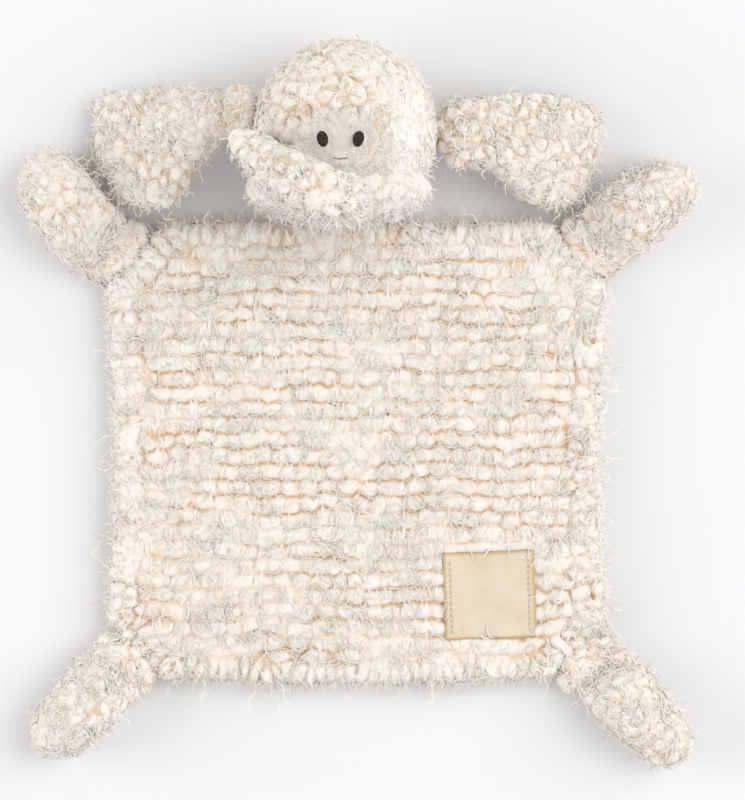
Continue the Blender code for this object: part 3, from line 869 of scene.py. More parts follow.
    def loose_yarn(self, name, count, lift, among=None):
        """Curly yarn ends lying over the tufts."""
        yarn, index = settings("yarn"), self.pick(count, among=among)
        headings = self.source.normal(size=(count, 3))
        lengths = yarn.loose_length * self.source.uniform(0.45, 1.5, count)
        lifts = self.source.uniform(0.6, 1.25, count) * lift
        self.trail(name, self.points[index], headings, lengths, 9, lifts, yarn.loose_radius, self.yarn, 0.45)

    def dangling_yarn(self, name, count, way):
        """Long curly ends of yarn that have worked loose along a rim."""
        yarn, normals = settings("yarn"), self.normals
        index = self.pick(count, np.clip((normals * way).sum(1), 0, 1) * (normals[:, 2] > -0.5))
        headings = normals[index] + self.source.normal(0, 0.45, (count, 3))
        lengths = yarn.loose_length * self.source.uniform(0.30, 0.70, count)
        self.sprout(name, index, headings, lengths, 8, 1.0, 0.35, yarn.loose_radius * 1.35, colours=self.yarn)

    def golden_ends(self, name, height, hollows):
        """Small bunches of tan yarn ends, in hollows whose places are measured from between the eyes."""
        source, eyes, count = self.source, middle_of("left_eye", "right_eye"), BUNCH * len(hollows)
        starts = np.repeat([(eyes.x + x, eyes.y + y, height) for x, y in hollows], BUNCH, axis=0)
        starts = starts + source.normal(0, 1, (count, 3)) * (0.0024, 0.0024, 0)
        headings = source.normal(size=(count, 3)) * (1.0, 0.6, 0.0) + (0.6, 0.5, 0.0)
        self.trail(name, starts, headings, source.uniform(0.004, 0.009, count), 7, 0.0005, 0.00045, GOLD)


# The blanket


def sewn_edge():
    """The blanket's outline, anticlockwise, and the seam's height, from its front solid."""
    points = solid("blanket_front")
    seam = points[:, 2].min()
    flat = np.unique(np.round(points[points[:, 2] < seam + 1e-5][:, :2], 6), axis=0)
    return flat[np.argsort(np.arctan2(flat[:, 1], flat[:, 0]))], seam


def edge_runs(outline):
    """Each straight run of the outline: its start, its end, its vector and its length."""
    for start, end in zip(outline, np.roll(outline, -1, axis=0)):
        yield start, end, end - start, math.hypot(*(end - start))


def inside_edge(points, outline):
    """How far each point lies inside the outline; below zero outside it."""
    nearest = np.full(len(points), 1e9)
    crossings = np.zeros(len(points), int)
    for start, end, run, _ in edge_runs(outline):
        share = np.clip(((points - start) @ run) / (run @ run), 0, 1)
        nearest = np.minimum(nearest, np.linalg.norm(points - start - share[:, None] * run, axis=1))
        if abs(run[1]) > 1e-9:
            above = (start[1] > points[:, 1]) != (end[1] > points[:, 1])
            crossings += above & (points[:, 0] < start[0] + run[0] * (points[:, 1] - start[1]) / run[1])
    return np.where(crossings % 2 == 1, nearest, -nearest)


def number_in_order(piece):
    """Numbers edges and faces by their points, because extruding leaves them in a new order in each run."""
    bm = bmesh.new()
    bm.from_mesh(piece.data)
    count = len(bm.verts)
    bm.edges.sort(key=lambda edge: edge.verts[0].index * count + edge.verts[1].index)
    bm.faces.sort(key=lambda face: face.verts[0].index * count + face.verts[2].index)
    bm.to_mesh(piece.data)
    bm.free()


def panel(name, node, grid, upward):
    """A pile panel: a grid cut to the sewn edge, rounded over at its rim, with a hem turned to the seam."""
    outline, seam = sewn_edge()
    low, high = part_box(node)
    span = Vector((high.x - low.x + 0.004, high.y - low.y + 0.004))
    middle = (low + high) / 2
    piece = add(
        bpy.ops.mesh.primitive_grid_add, name, (span.x, span.y, 1.0), x_subdivisions=round(span.x / grid),
        y_subdivisions=round(span.y / grid), size=1.0, location=(middle.x, middle.y, seam),
    )
    outside = inside_edge(points_of(piece)[:, :2], outline) < INSET
    select_faces(piece, [outside[list(p.vertices)].any() for p in piece.data.polygons])
    bpy.ops.mesh.delete(type="FACE")
    bpy.ops.mesh.select_all(action="SELECT")
    bpy.ops.mesh.select_mode(type="EDGE")
    bpy.ops.mesh.region_to_loop()
    side = 1 if upward else -1
    for _ in range(3):
        bpy.ops.mesh.extrude_edges_move(TRANSFORM_OT_translate={"value": (0, 0, -0.0018 * side)})
    if not upward:
        bpy.ops.mesh.select_all(action="SELECT")
        bpy.ops.mesh.flip_normals()
    bpy.ops.object.mode_set(mode="OBJECT")
    number_in_order(piece)
    points = points_of(piece)
    depth = np.maximum(inside_edge(points[:, :2], outline) - INSET, 0)
    thick = abs((high.z if upward else low.z) - seam) - INSET
    rounded = 0.35 + 0.65 * (1 - (1 - np.clip(depth / 0.0135, 0, 1)) ** 5)
    points[:, 2] = seam + side * thick * rounded + (points[:, 2] - seam)
    set_points(piece, points)
    piece.data.shade_smooth()
    return piece, outline


def sway(x, y):
    """How far the rows wander up or down at a place on the blanket."""
    broad = 0.0024 * noise.noise(Vector((x / 0.038, y / 0.050, 4.2)))
    return broad + 0.0013 * noise.noise(Vector((x / 0.013, y / 0.020, 9.1)))


def blanket_seeds(points, depth, outline, source):
    """Tufts in rows over the middle, and a looser strip of them along the edge, with each one's row."""
    pile = settings("pile")
    low, high = outline.min(0), outline.max(0)
    rows, seeds = [], []
    for row in range(int((high[1] - low[1]) / pile.row_pitch) + 2):
        x = low[0] - source.uniform(0, pile.tuft_width)
        phase = source.uniform(0, 6.28)
        while x < high[0]:
            width = pile.tuft_width * source.uniform(0.62, 1.45)
            x += width / 2
            lean = 0.0007 * math.sin(x / 0.014 + phase) + source.normal(0, 0.0009)
            y = high[1] - row * pile.row_pitch
            seeds.append((x, y + lean + sway(x, y), 0.0))
            rows.append(row)
            x += width / 2
    tree = nearest_of(points * (1, 1, 0))
    found = [tree.find(seed) for seed in seeds]
    keep = np.array([far < 0.003 and depth[index] > pile.border for _, index, far in found])
    rim = edge_line(outline, source)
    rows = np.append(np.array(rows)[keep], max(rows) + 1 + np.arange(len(rim)))
    return np.vstack([np.array(seeds)[keep], rim]), rows


def edge_line(outline, source):
    """Tufts side by side along the edge: one long row at the top and foot, two short rows at the sides."""
    seeds = []
    for start, _, run, size in edge_runs(outline):
        inward = np.array((-run[1], run[0])) / size
        rows, pitch = ((0.0085,), 0.0068) if abs(inward[1]) > 0.8 else ((0.0040, 0.0125), 0.0084)
        tufts = max(1, round(size / pitch))
        for deep in rows:
            for share in (np.arange(tufts) + 0.5) / tufts:
                place = start + run * share + inward * (deep + source.normal(0, 0.0008))
                seeds.append((*(place + source.normal(0, 0.0009, 2)), 0.0))
    return np.array(seeds)


class LOVEY_OT_blanket(bpy.types.Operator):
    """Make the blanket's two pile panels"""

    bl_idname = "lovey.blanket"
    bl_label = "Blanket panels"

    def execute(self, context):
        pile = settings("pile")
        source = np.random.default_rng(11)
        front, outline = panel("blanket_front_pile", "blanket_front", pile.grid, True)
        points = points_of(front)
        depth = inside_edge(points[:, :2], outline)
        seeds, rows = blanket_seeds(points, depth, outline, source)
        middle = smooth_step(0.002, pile.border * 1.5, depth)
        low_rim = np.clip((0.0150 - points[:, 2]) / 0.006, 0, 1)
        raise_tufts(
            front, seeds, pile.tuft_depth, source, rows, side_hold=0.42, stretch=(0.82, 1.0, 0.0),
            level=(1.0 - 0.35 * low_rim, 0.25 + 0.75 * middle), round_off=2.6, wander=0.0014,
        )
        self.tan_patches(front, points)
        dress(front, pile_finish("tufted_pile"), "tufted_pile", "blanket", "blanket_front")
        calm(front)

        back, _ = panel("blanket_back_pile", "blanket_back", 0.0024, False)
        seeds = scatter(points_of(back) * (1, 1, 0), 0.0095, source)
        raise_tufts(back, seeds, pile.tuft_depth * 0.5, source, stretch=(1, 1, 0), wander=0.0016)
        dress(back, pile_finish("back_pile"), "back_pile", "blanket", "blanket_back")
        return {"FINISHED"}

    def tan_patches(self, front, points):
        """Hollows in the pile where the tan backing shows through, with more shade painted on the tufts in
        them.
        """
        hollows = (
            (-0.0492, 0.133), (-0.0430, 0.130), (-0.0042, 0.133), (0.0240, 0.132), (0.0180, 0.127),
            (-0.0980, 0.117), (0.0950, 0.115), (-0.1220, 0.045), (-0.1190, 0.012), (0.1180, 0.060),
            (-0.1150, -0.100), (-0.1210, -0.060),
        )
        crease, low = fetch(front, "crease"), fetch(front, "low")
        far = [np.linalg.norm((points[:, :2] - place) / (1.3, 1.0), axis=1) for place in hollows]
        patch = smooth_step(0.0070, 0.0020, np.min(far, axis=0))
        store(front, "crease", np.clip(crease + (0.38 + 0.62 * low) * patch, 0, 1))
        # painted shade: the tufts in each hollow take more of the warm shade colour
        store(front, "low", np.clip(low + 0.8 * patch, 0, 1))


class LOVEY_OT_blanket_yarn(bpy.types.Operator):
    """Lay loose yarn over the blanket and its edges"""

    bl_idname = "lovey.blanket_yarn"
    bl_label = "Blanket yarn"

    def execute(self, context):
        yarn = settings("yarn")
        source = np.random.default_rng(12)
        coat = Coat("blanket", "tufted_pile", source, bpy.data.objects["blanket_front_pile"])
        points, normals = coat.points, coat.normals
        label = np.array(middle_of("label")[:2])
        clear = np.abs(points[:, :2] - label).max(axis=1) > 0.031
        up = np.flatnonzero((normals[:, 2] > 0.3) & (points[:, 2] > 0.014) & clear)
        coat.loose_yarn("blanket_loose_yarn", yarn.loose_count, 0.0011, up)
        coat.curls("blanket_tuft_ends", yarn.curl_count, 0.30, among=up)
        outline, _ = sewn_edge()
        self.row_loops(coat, outline, label)
        self.border_loops(coat, outline)
        self.edge_roll(outline, source)
        self.knit(coat)
        rim = coat.pick(2100, among=np.flatnonzero(inside_edge(points[:, :2], outline) < 0.004))
        outward = (normals[rim] + source.normal(0, 0.45, (len(rim), 3))) * (1.0, 1.0, 0.4)
        lengths = 0.6 * yarn.hair_length * source.uniform(0.5, 1.5, len(rim))
        coat.sprout(
            "blanket_edge_fringe", rim, outward, lengths, 5, 0.95, 0.35, yarn.hair_radius, 0.45, blend=0.6,
            root=0.0,
        )
        rim = coat.pick(110, among=rim)
        outward = (normals[rim] + source.normal(0, 0.5, (len(rim), 3))) * (1.0, 1.0, 0.3)
        lengths = yarn.loose_length * source.uniform(0.5, 1.0, len(rim))
        coat.sprout(
            "blanket_edge_yarn", rim, outward, lengths, 9, 0.9, 0.25, yarn.loose_radius * 1.4, blend=0.6,
            colours=coat.yarn, root=0.0,
        )
        return {"FINISHED"}

    def row_loops(self, coat, outline, label):
        """Loops along the rows of tufts, clear of the label."""
        pile, yarn, source = settings("pile"), settings("yarn"), coat.source
        starts, headings = [], []
        low, high = outline.min(0), outline.max(0)
        for row in range(int((high[1] - low[1]) / pile.row_pitch) + 2):
            x = low[0]
            while x < high[0]:
                x += yarn.loop_pitch * source.uniform(0.7, 1.3)
                y = high[1] - row * pile.row_pitch
                y += sway(x, y) - 0.40 * pile.row_pitch + source.normal(0, 0.0007)
                starts.append((x, y, 0.02))
                headings.append((source.normal(0, 0.25), 1.0, 0.0))
        starts, headings = np.array(starts), np.array(headings)
        aside = np.abs(starts[:, :2] - label) - (0.026, 0.030)
        keep = (inside_edge(starts[:, :2], outline) > pile.border - 0.003) & (aside.max(axis=1) > 0)
        coat.loops("blanket_loops", starts[keep], headings[keep], pile.row_pitch * 0.92)

    def border_loops(self, coat, outline):
        """Loops that point outwards in the fluffier border."""
        starts, headings, source = [], [], coat.source
        for start, _, run, size in edge_runs(outline):
            outward = np.array((run[1], -run[0])) / size
            for share in np.arange(0, 1, settings("yarn").loop_pitch * 0.8 / size):
                starts.append((*(start + run * share - outward * source.uniform(0.004, 0.018)), 0.02))
                headings.append((*(outward + source.normal(0, 0.22, 2)), 0.0))
        coat.loops("border_loops", np.array(starts), np.array(headings), 0.0115)

    def edge_roll(self, outline, source):
        """The turned-in edge, a roll of pile that closes the seam between the two panels."""
        along = np.roll(outline, -1, axis=0) - np.roll(outline, 1, axis=0)
        inward = unit(np.column_stack([-along[:, 1], along[:, 0]]))
        line = np.column_stack([outline + inward * 0.0042, np.full(len(outline), 0.0092)])
        closed = np.vstack([line, line[:1]])
        run = np.append(0, np.cumsum(np.linalg.norm(np.diff(closed, axis=0), axis=1)))
        places = np.arange(0, run[-1], 0.0016)
        spine = np.stack([np.interp(places, run, closed[:, k]) for k in range(3)], axis=1)[None]
        radii = 0.0036 + 0.0007 * np.sin(places / 0.0030)[None] + source.normal(0, 0.0002, (1, len(places)))
        finish = pile_finish("edge_roll")
        piece = strands("blanket_edge_roll", spine, radii, np.array((0.5,)), finish, sides=10)
        dress(piece, None, "tufted_pile", "blanket")

    def knit(self, coat):
        """The two spots at the right edge where the knitted backing shows as fine golden ribs."""
        steps, source = 19, coat.source
        swell = 0.00052 * (0.75 + 0.35 * np.abs(np.sin(np.linspace(0, 9 * math.pi, steps))))
        for number, (x, y, end, ribs) in enumerate(KNIT_SPOTS, 1):
            starts = np.array([(x + 0.0011 * k, y + source.uniform(0, 0.001), 0.03) for k in range(ribs)])
            headings = np.tile((0.0, 1.0, 0.0), (ribs, 1))
            spines, ups = laid(coat.tree, starts, headings, end - y, steps, 0.0006, source, curl=0.0)
            name = f"edge_knit_{number}"
            coat.make(name, spines, np.tile(swell, (ribs, 1)), strand_finish(name, *KNIT), ups)


# The head


def cut_in_two(piece, point, normal, name):
    """Parts a stuffed form along its seam plane into a front and a back piece."""
    select_faces(piece, [(p.center - point).dot(normal) < 0 for p in piece.data.polygons])
    bpy.ops.mesh.separate(type="SELECTED")
    bpy.ops.object.mode_set(mode="OBJECT")
    back = next(o for o in bpy.context.selected_objects if o != piece)
    piece.name = piece.data.name = name + "_front_pile"
    back.name = back.data.name = name + "_back_pile"
    return piece, back


def furriness(points, centre):
    """How far each point is in the long fur: 0 over the crown and 1 on the right cheek and the chin."""
    bearing = np.arctan2(points[:, 1] - centre[1], points[:, 0] - centre[0])
    return smooth_step(-0.55, 0.75, np.cos(bearing + 0.75))


class LOVEY_OT_head(bpy.types.Operator):
    """Make the head's pile and fur"""

    bl_idname = "lovey.head"
    bl_label = "Head"

    def execute(self, context):
        pile, yarn, face = settings("pile"), settings("yarn"), settings("face")
        source = np.random.default_rng(21)
        nodes = ("head_front_cover", "head_back_cover", "head_filling")
        form = soft_form("head_form", nodes, 0.0012, 0.00118)
        points = points_of(form)
        eyes = middle_of("left_eye", "right_eye")
        centre = np.array((eyes.x, eyes.y - 0.0030))
        reach = (face.face_half_width, face.face_half_length)
        away = np.linalg.norm((points[:, :2] - centre) / reach, axis=1)
        front = points[:, 2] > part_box("head_filling")[0].z + 0.06
        bare = np.where(front, 1 - smooth_step(0.70, 1.55, away), 0.0)
        furry = furriness(points, centre)
        seeds = scatter(points, 0.0080, source, bare < 0.9)
        level = ((1 - bare * 0.97) * (1.05 - 0.80 * furry), (1 - bare) * (0.95 - 0.75 * furry))
        raise_tufts(form, seeds, pile.tuft_depth * 0.95, source, level=level)
        store(form, "face", bare * 0.85)
        finish = pile_finish("head_pile", face=face.face_colour)
        seam = middle_of("head_front_cover", "head_back_cover")
        middle = Vector((seam.x, seam.y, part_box("head_front_cover")[0].z))
        coat = Coat("head", "head_pile", source, form)
        halves = cut_in_two(form, middle, Vector((0, 0, 1)), "head")
        dress(halves[0], finish, "head_pile", "head", "head_front_cover")
        dress(halves[1], finish, "head_pile", "head", "head_back_cover", "head_filling")
        for half in halves:
            calm(half, 0.75)

        # Locks and fur swept out from the face, longest on the right cheek and the chin
        points = coat.points
        from_face, sweep = points[:, :2] - centre, furriness(points, centre)
        ring = smooth_step(0.9, 1.25, away) * (points[:, 2] > 0.012)
        out = np.column_stack([unit(from_face), np.full(len(points), -0.15)])
        for kind, count, thick, tip in (
            ("locks", yarn.lock_count, 0.00090, 0.0005), ("fur", yarn.fur_count, yarn.hair_radius, 0.0010)
        ):
            index = coat.pick(count, ring * (0.06 + 0.94 * sweep))
            way = out[index] + source.normal(0, 0.24, (count, 3))
            lengths = yarn.fur_length * (0.45 + 0.55 * sweep[index]) * source.uniform(0.5, 1.0, count)
            coat.combed("head_" + kind, points[index], way, lengths, thick, tip, kind == "locks")
        self.outline_fur(coat, from_face, away)
        self.chin(source)
        coat.bobbles("head_loops", 1500, 0.0085, 0.72, 0.9, ring * np.clip(1 - 1.1 * sweep, 0, 1))
        self.nap(coat, away)
        coat.golden_ends("head_golden_ends", 0.11, (
            (-0.0138, 0.0383), (0.0210, 0.0286), (0.0217, 0.0025), (0.0200, -0.0128), (0.0015, 0.0286),
            (-0.0390, 0.0257), (-0.0270, 0.0150), (0.0330, 0.0120),
        ))
        crown = np.flatnonzero((ring > 0.5) & (points[:, 2] > 0.010))
        coat.curls("head_tuft_ends", 650, 0.35, (0.1, 0.2, 0.0), crown)
        coat.loose_yarn("head_loose_yarn", 150, 0.0009, crown)
        return {"FINISHED"}

    def outline_fur(self, coat, from_face, away):
        """Fur that stands out round the head's outline, longest below."""
        source, height, count = coat.source, coat.points[:, 2], 1500
        radius = settings("yarn").hair_radius
        low = np.clip(0.25 - from_face[:, 1] / 0.05, 0.12, 1) * (height > 0.012) * (height < 0.095)
        index = coat.pick(count, low * (away > 1.6))
        heading = coat.normals[index] * (1.0, 1.0, 0.35) + source.normal(0, 0.38, (count, 3))
        lengths = 0.0125 * source.uniform(0.45, 1.15, count) * (0.45 + 0.55 * low[index])
        coat.sprout("head_outline_fur", index, heading, lengths, 5, 0.85, 0.25, radius, 0.4)

    def chin(self, source):
        """The chin's soft swelling under the trunk, its nap and the fur that hangs from it."""
        radius = settings("yarn").hair_radius
        ball = tufted_ball(
            "chin_pile", (-0.011, 0.1600, 0.066), 0.0, (0.053, 0.0185, 0.0265), "head", "head_pile", source,
            settings("pile").tuft_depth * 0.45, 0.35,
        )
        coat = Coat("head", "head_pile", source, ball)
        calm(ball, 0.8)
        points, normals, count = coat.points, coat.normals, 1300
        index = coat.pick(count, normals[:, 2] > -0.3)
        way = unit((points[index] - (0.0, 0.190, 0.070)) * (1.0, 1.0, 0.0))
        way = way + source.normal(0, 0.22, (count, 3))
        lengths = source.uniform(0.007, 0.015, count)
        coat.combed("head_chin_nap", points[index], way, lengths, radius * 1.2, 0.0010)
        count = 560
        under = np.clip(-normals[:, 1] * 1.2 - normals[:, 2], 0.0, 1)
        index = coat.pick(count, (normals[:, 2] > -0.5) * under)
        heading = normals[index] * 0.9 + (0.0, -0.25, 0.0) + source.normal(0, 0.50, (count, 3))
        lengths, up = source.uniform(0.0045, 0.0105, count), normals[index] * 0.5 + HANGING
        coat.sprout("head_chin_fur", index, heading, lengths, 5, 1.1, 0.1, radius * 1.3, blend=0.9, up=up)

    def nap(self, coat, away):
        """The nap of the short-pile face and the loops round it, kept clear of the eyes and the mouth."""
        points, source, count = coat.points, coat.source, 2000
        clear = (away < 1.7) & (points[:, 2] > 0.08)
        for node, room in (("left_eye", 0.0068), ("right_eye", 0.0068), ("mouth", 0.0055)):
            clear &= np.linalg.norm(points[:, :2] - np.array(middle_of(node)[:2]), axis=1) > room
        index = coat.pick(count, clear)
        headings, lengths = source.normal(size=(count, 3)), source.uniform(0.002, 0.0045, count)
        coat.trail("face_nap", points[index], headings, lengths, 4, 0.0004, 0.00022, NAP, 0.4, 0.9)
        coat.bobbles("face_edge_loops", 380, 0.0070, 0.62, 0.9, clear & (away > 0.60) & (away < 1.40))


class LOVEY_OT_face(bpy.types.Operator):
    """Stitch the eyes and the mouth"""

    bl_idname = "lovey.face"
    bl_label = "Face"

    def execute(self, context):
        source = np.random.default_rng(31)
        for name, lean in (("left_eye", 12.0), ("right_eye", -12.0)):
            self.eye(name, math.radians(lean), source)
        self.mouth()
        return {"FINISHED"}

    def eye(self, name, lean, source):
        """Satin stitches laid side by side over a small pad."""
        face, steps = settings("face"), 9
        points = solid(name)
        middle = points.mean(0)
        up = np.array((math.sin(-lean), math.cos(lean), 0.0))
        across = np.array((math.cos(lean), math.sin(lean), 0.0))
        normal = unit(middle - np.array(middle_of("head_filling")))
        half_length, half_width = (np.abs((points - middle) @ way).max() for way in (up, across))
        top = ((points - middle) @ normal).max()
        turns = np.linspace(-1, 1, steps)
        spines, widths = [], []
        stitches = int(2 * half_length / (face.thread_radius * 1.1))
        for k in range(stitches):
            share = (k + 0.5) / stitches * 2 - 1
            reach = half_width * math.sqrt(1 - share**2) * source.uniform(0.90, 1.02)
            slant = 0.24 * face.thread_radius * (1 if k % 2 else -1)
            crown = np.sqrt(1 - turns**2) * math.sqrt(1 - share**2)
            spines.append(
                middle
                + up * (share * half_length * 0.94 + slant * turns)[:, None]
                + across * (reach * turns)[:, None]
                + normal * (top * (0.85 * crown - 0.9) + face.thread_radius * 0.5)[:, None]
            )
            widths.append(np.full(steps, face.thread_radius * source.uniform(0.9, 1.1)))
        finish = Finish(name + "_thread", 0.8, Specular_IOR_Level=0.0)
        speckle = (finish.mottle(finish.place(), 900.0) * 2.2 - 0.85).clamped()
        dark = finish.mix(finish.attribute("tone") * 0.7, face.eye_colour, (0.070, 0.056, 0.045))
        finish.set("Base Color", finish.mix(speckle * 0.8, dark, (0.16, 0.13, 0.105)))
        finish.bump(finish.mottle(finish.place((1.0, 3.0, 1.0)), 2600.0), 0.0003, 0.6)
        tones = source.uniform(0, 1, stitches)
        made = strands(name + "_stitches", np.array(spines), np.array(widths), tones, finish.material)
        dress(made, None, "eye_thread", "head", name)

    def mouth(self):
        """A line of three small back stitches with two plies."""
        points, knots, steps = solid("mouth"), 9, 31
        order = points[np.argsort(points[:, 0])]
        left, right = order[0, 0], order[-1, 0]
        spare = 0.08 * (right - left)
        places = np.linspace(left + spare, right - spare, knots)
        line = np.array([order[np.argsort(np.abs(order[:, 0] - x))[:8]].mean(0) for x in places])
        line[:, 1] = line[:, 1].mean() + 0.8 * (line[:, 1] - line[:, 1].mean())
        shares = np.linspace(0, 1, steps)
        smooth = np.stack([np.interp(shares, np.linspace(0, 1, knots), line[:, k]) for k in range(3)], axis=1)
        spines = []
        for ply in (0, math.pi):
            twist = shares * 15 * math.pi + ply
            coil = np.stack([np.zeros(steps), np.cos(twist), np.sin(twist)], axis=1)
            spines.append(smooth + coil * 0.00022 + (0.0, 0.0, 0.0003))
        dip = 0.6 + 0.4 * np.abs(np.sin(shares * 3 * math.pi)) ** 0.5
        finish = Finish("mouth_thread", 0.6, Sheen_Weight=0.2)
        shade = finish.mix(finish.attribute("tone"), settings("face").mouth_colour, (0.36, 0.30, 0.19))
        finish.set("Base Color", shade)
        finish.bump(finish.mottle(finish.place(), 3500.0), 0.0002)
        radii = np.tile(0.00042 * dip, (2, 1))
        made = strands("mouth_stitches", np.array(spines), radii, np.array((0.1, 0.7)), finish.material)
        dress(made, None, "mouth_thread", "head", "mouth")


class LOVEY_OT_trunk(bpy.types.Operator):
    """Make the trunk's shaggy sleeve"""

    bl_idname = "lovey.trunk"
    bl_label = "Trunk"

    def execute(self, context):
        yarn, nodes = settings("yarn"), ("trunk_cover", "trunk_filling")
        source = np.random.default_rng(41)
        form = soft_form("trunk_pile", nodes, 0.0015)
        tuft_all_over(form, 0.0078, settings("pile").tuft_depth, source, wander=0.0016)
        dress(form, pile_finish("trunk_pile", tuft=yarn.fur_colour), "trunk_pile", "trunk", *nodes)
        coat = Coat("trunk", "trunk_pile", source, form)
        calm(form, 0.75)
        points, normals = coat.points, coat.normals
        root = np.array(joint_named("trunk_lift")["pos_m"])
        away = unit(points - root)
        for kind, count, thick, tip in (
            ("locks", 330, 0.00100, 0.0008), ("fur", 650, yarn.hair_radius * 1.1, 0.0014)
        ):
            index = coat.pick(count, np.clip(normals[:, 2] + 0.8, 0.05, 1))
            way = away[index] + source.normal(0, 0.35, (count, 3)) + np.array((0, -0.45, 0))
            lengths = 0.0120 * source.uniform(0.55, 1.15, count)
            coat.combed("trunk_" + kind, points[index], way, lengths, thick, tip, kind == "locks")
        coat.bobbles("trunk_loops", 260, 0.0085, 0.85, 0.9)
        at_root = points[:, 0] > root[0] - 0.004
        under = np.clip(-normals[:, 1] - normals[:, 0] * 0.3 + 0.1, 0, 1) * (normals[:, 2] > -0.55)
        under += 1.2 * (normals[:, 0] > 0.15) * at_root * (normals[:, 2] > -0.4)
        count = 480
        index = coat.pick(count, under)
        heading = np.array((-0.10, -0.7, -0.05)) + source.normal(0, 0.55, (count, 3))
        heading[:, 0] += 1.1 * at_root[index]
        lengths, up = source.uniform(0.005, 0.0115, count), normals[index] * 0.5 + HANGING
        coat.sprout(
            "trunk_hanging_fur", index, heading, lengths, 5, 1.0, 0.10, yarn.hair_radius * 1.3, 0.45, 0.9,
            up=up,
        )
        coat.loose_yarn("trunk_loose_yarn", 60, 0.0009)
        coat.golden_ends("trunk_golden_ends", 0.13, (
            (-0.0410, -0.0070), (-0.0320, -0.0050), (-0.0480, -0.0140), (-0.0230, -0.0190)
        ))
        return {"FINISHED"}


# Ears, paws, cuffs and neck


class LOVEY_OT_ears(bpy.types.Operator):
    """Make the two floppy ears"""

    bl_idname = "lovey.ears"
    bl_label = "Ears"

    def execute(self, context):
        for number, ear in enumerate(("left_ear", "right_ear")):
            source = np.random.default_rng(51 + number)
            nodes = (ear + "_front", ear + "_back")
            form = soft_form(ear + "_form", nodes, 0.0014)
            tuft_all_over(form, 0.0072, settings("pile").tuft_depth * 0.72, source)
            coat = Coat(ear, "ear_pile", source, form)
            front, back = middle_of(nodes[0]), middle_of(nodes[1])
            halves = cut_in_two(form, (front + back) / 2, (front - back).normalized(), ear)
            finish = pile_finish(ear + "_pile")
            for half, node in zip(halves, nodes):
                dress(half, finish, "ear_pile", ear, node)
                calm(half)
            out = np.sign(front.x)
            coat.curls(ear + "_tuft_ends", 620, 0.55, (out * 0.7, -0.3, 0.0))
            coat.bobbles(ear + "_loops", 950, 0.0080, 0.82, 0.6, spread=0.35, way=(out * 0.3, 1.0, 0.0))
            coat.loose_yarn(ear + "_loose_yarn", 130, 0.0010, np.flatnonzero(coat.normals[:, 2] > -0.1))
            coat.dangling_yarn(ear + "_yarn_ends", 80, (out * 0.7, -0.9, 0.0))
        return {"FINISHED"}


class LOVEY_OT_paws(bpy.types.Operator):
    """Make the four stuffed paws"""

    bl_idname = "lovey.paws"
    bl_label = "Paws"

    def execute(self, context):
        for number, paw in enumerate(("left_arm", "right_arm", "left_leg", "right_leg")):
            source = np.random.default_rng(61 + number)
            nodes = (paw + "_cover", paw + "_filling")
            form = soft_form(paw + "_pile", nodes, 0.0016)
            tuft_all_over(form, 0.0072, settings("pile").tuft_depth * 0.72, source)
            dress(form, pile_finish(paw + "_pile"), "paw_pile", paw, *nodes)
            coat = Coat(paw, "paw_pile", source, form)
            calm(form)
            middle = middle_of(nodes[0])
            out = (np.sign(middle.x) * 0.6, np.sign(middle.y) * 0.6, 0.0)
            coat.curls(paw + "_tuft_ends", 540, 0.55, out)
            coat.bobbles(paw + "_loops", 750, 0.0085, 0.84, 0.8, spread=0.6, way=out)
            coat.loose_yarn(paw + "_loose_yarn", 110, 0.0011, np.flatnonzero(coat.normals[:, 2] > -0.2))
            coat.dangling_yarn(paw + "_yarn_ends", 45, (-out[0], abs(out[1]), 0.0))
        return {"FINISHED"}


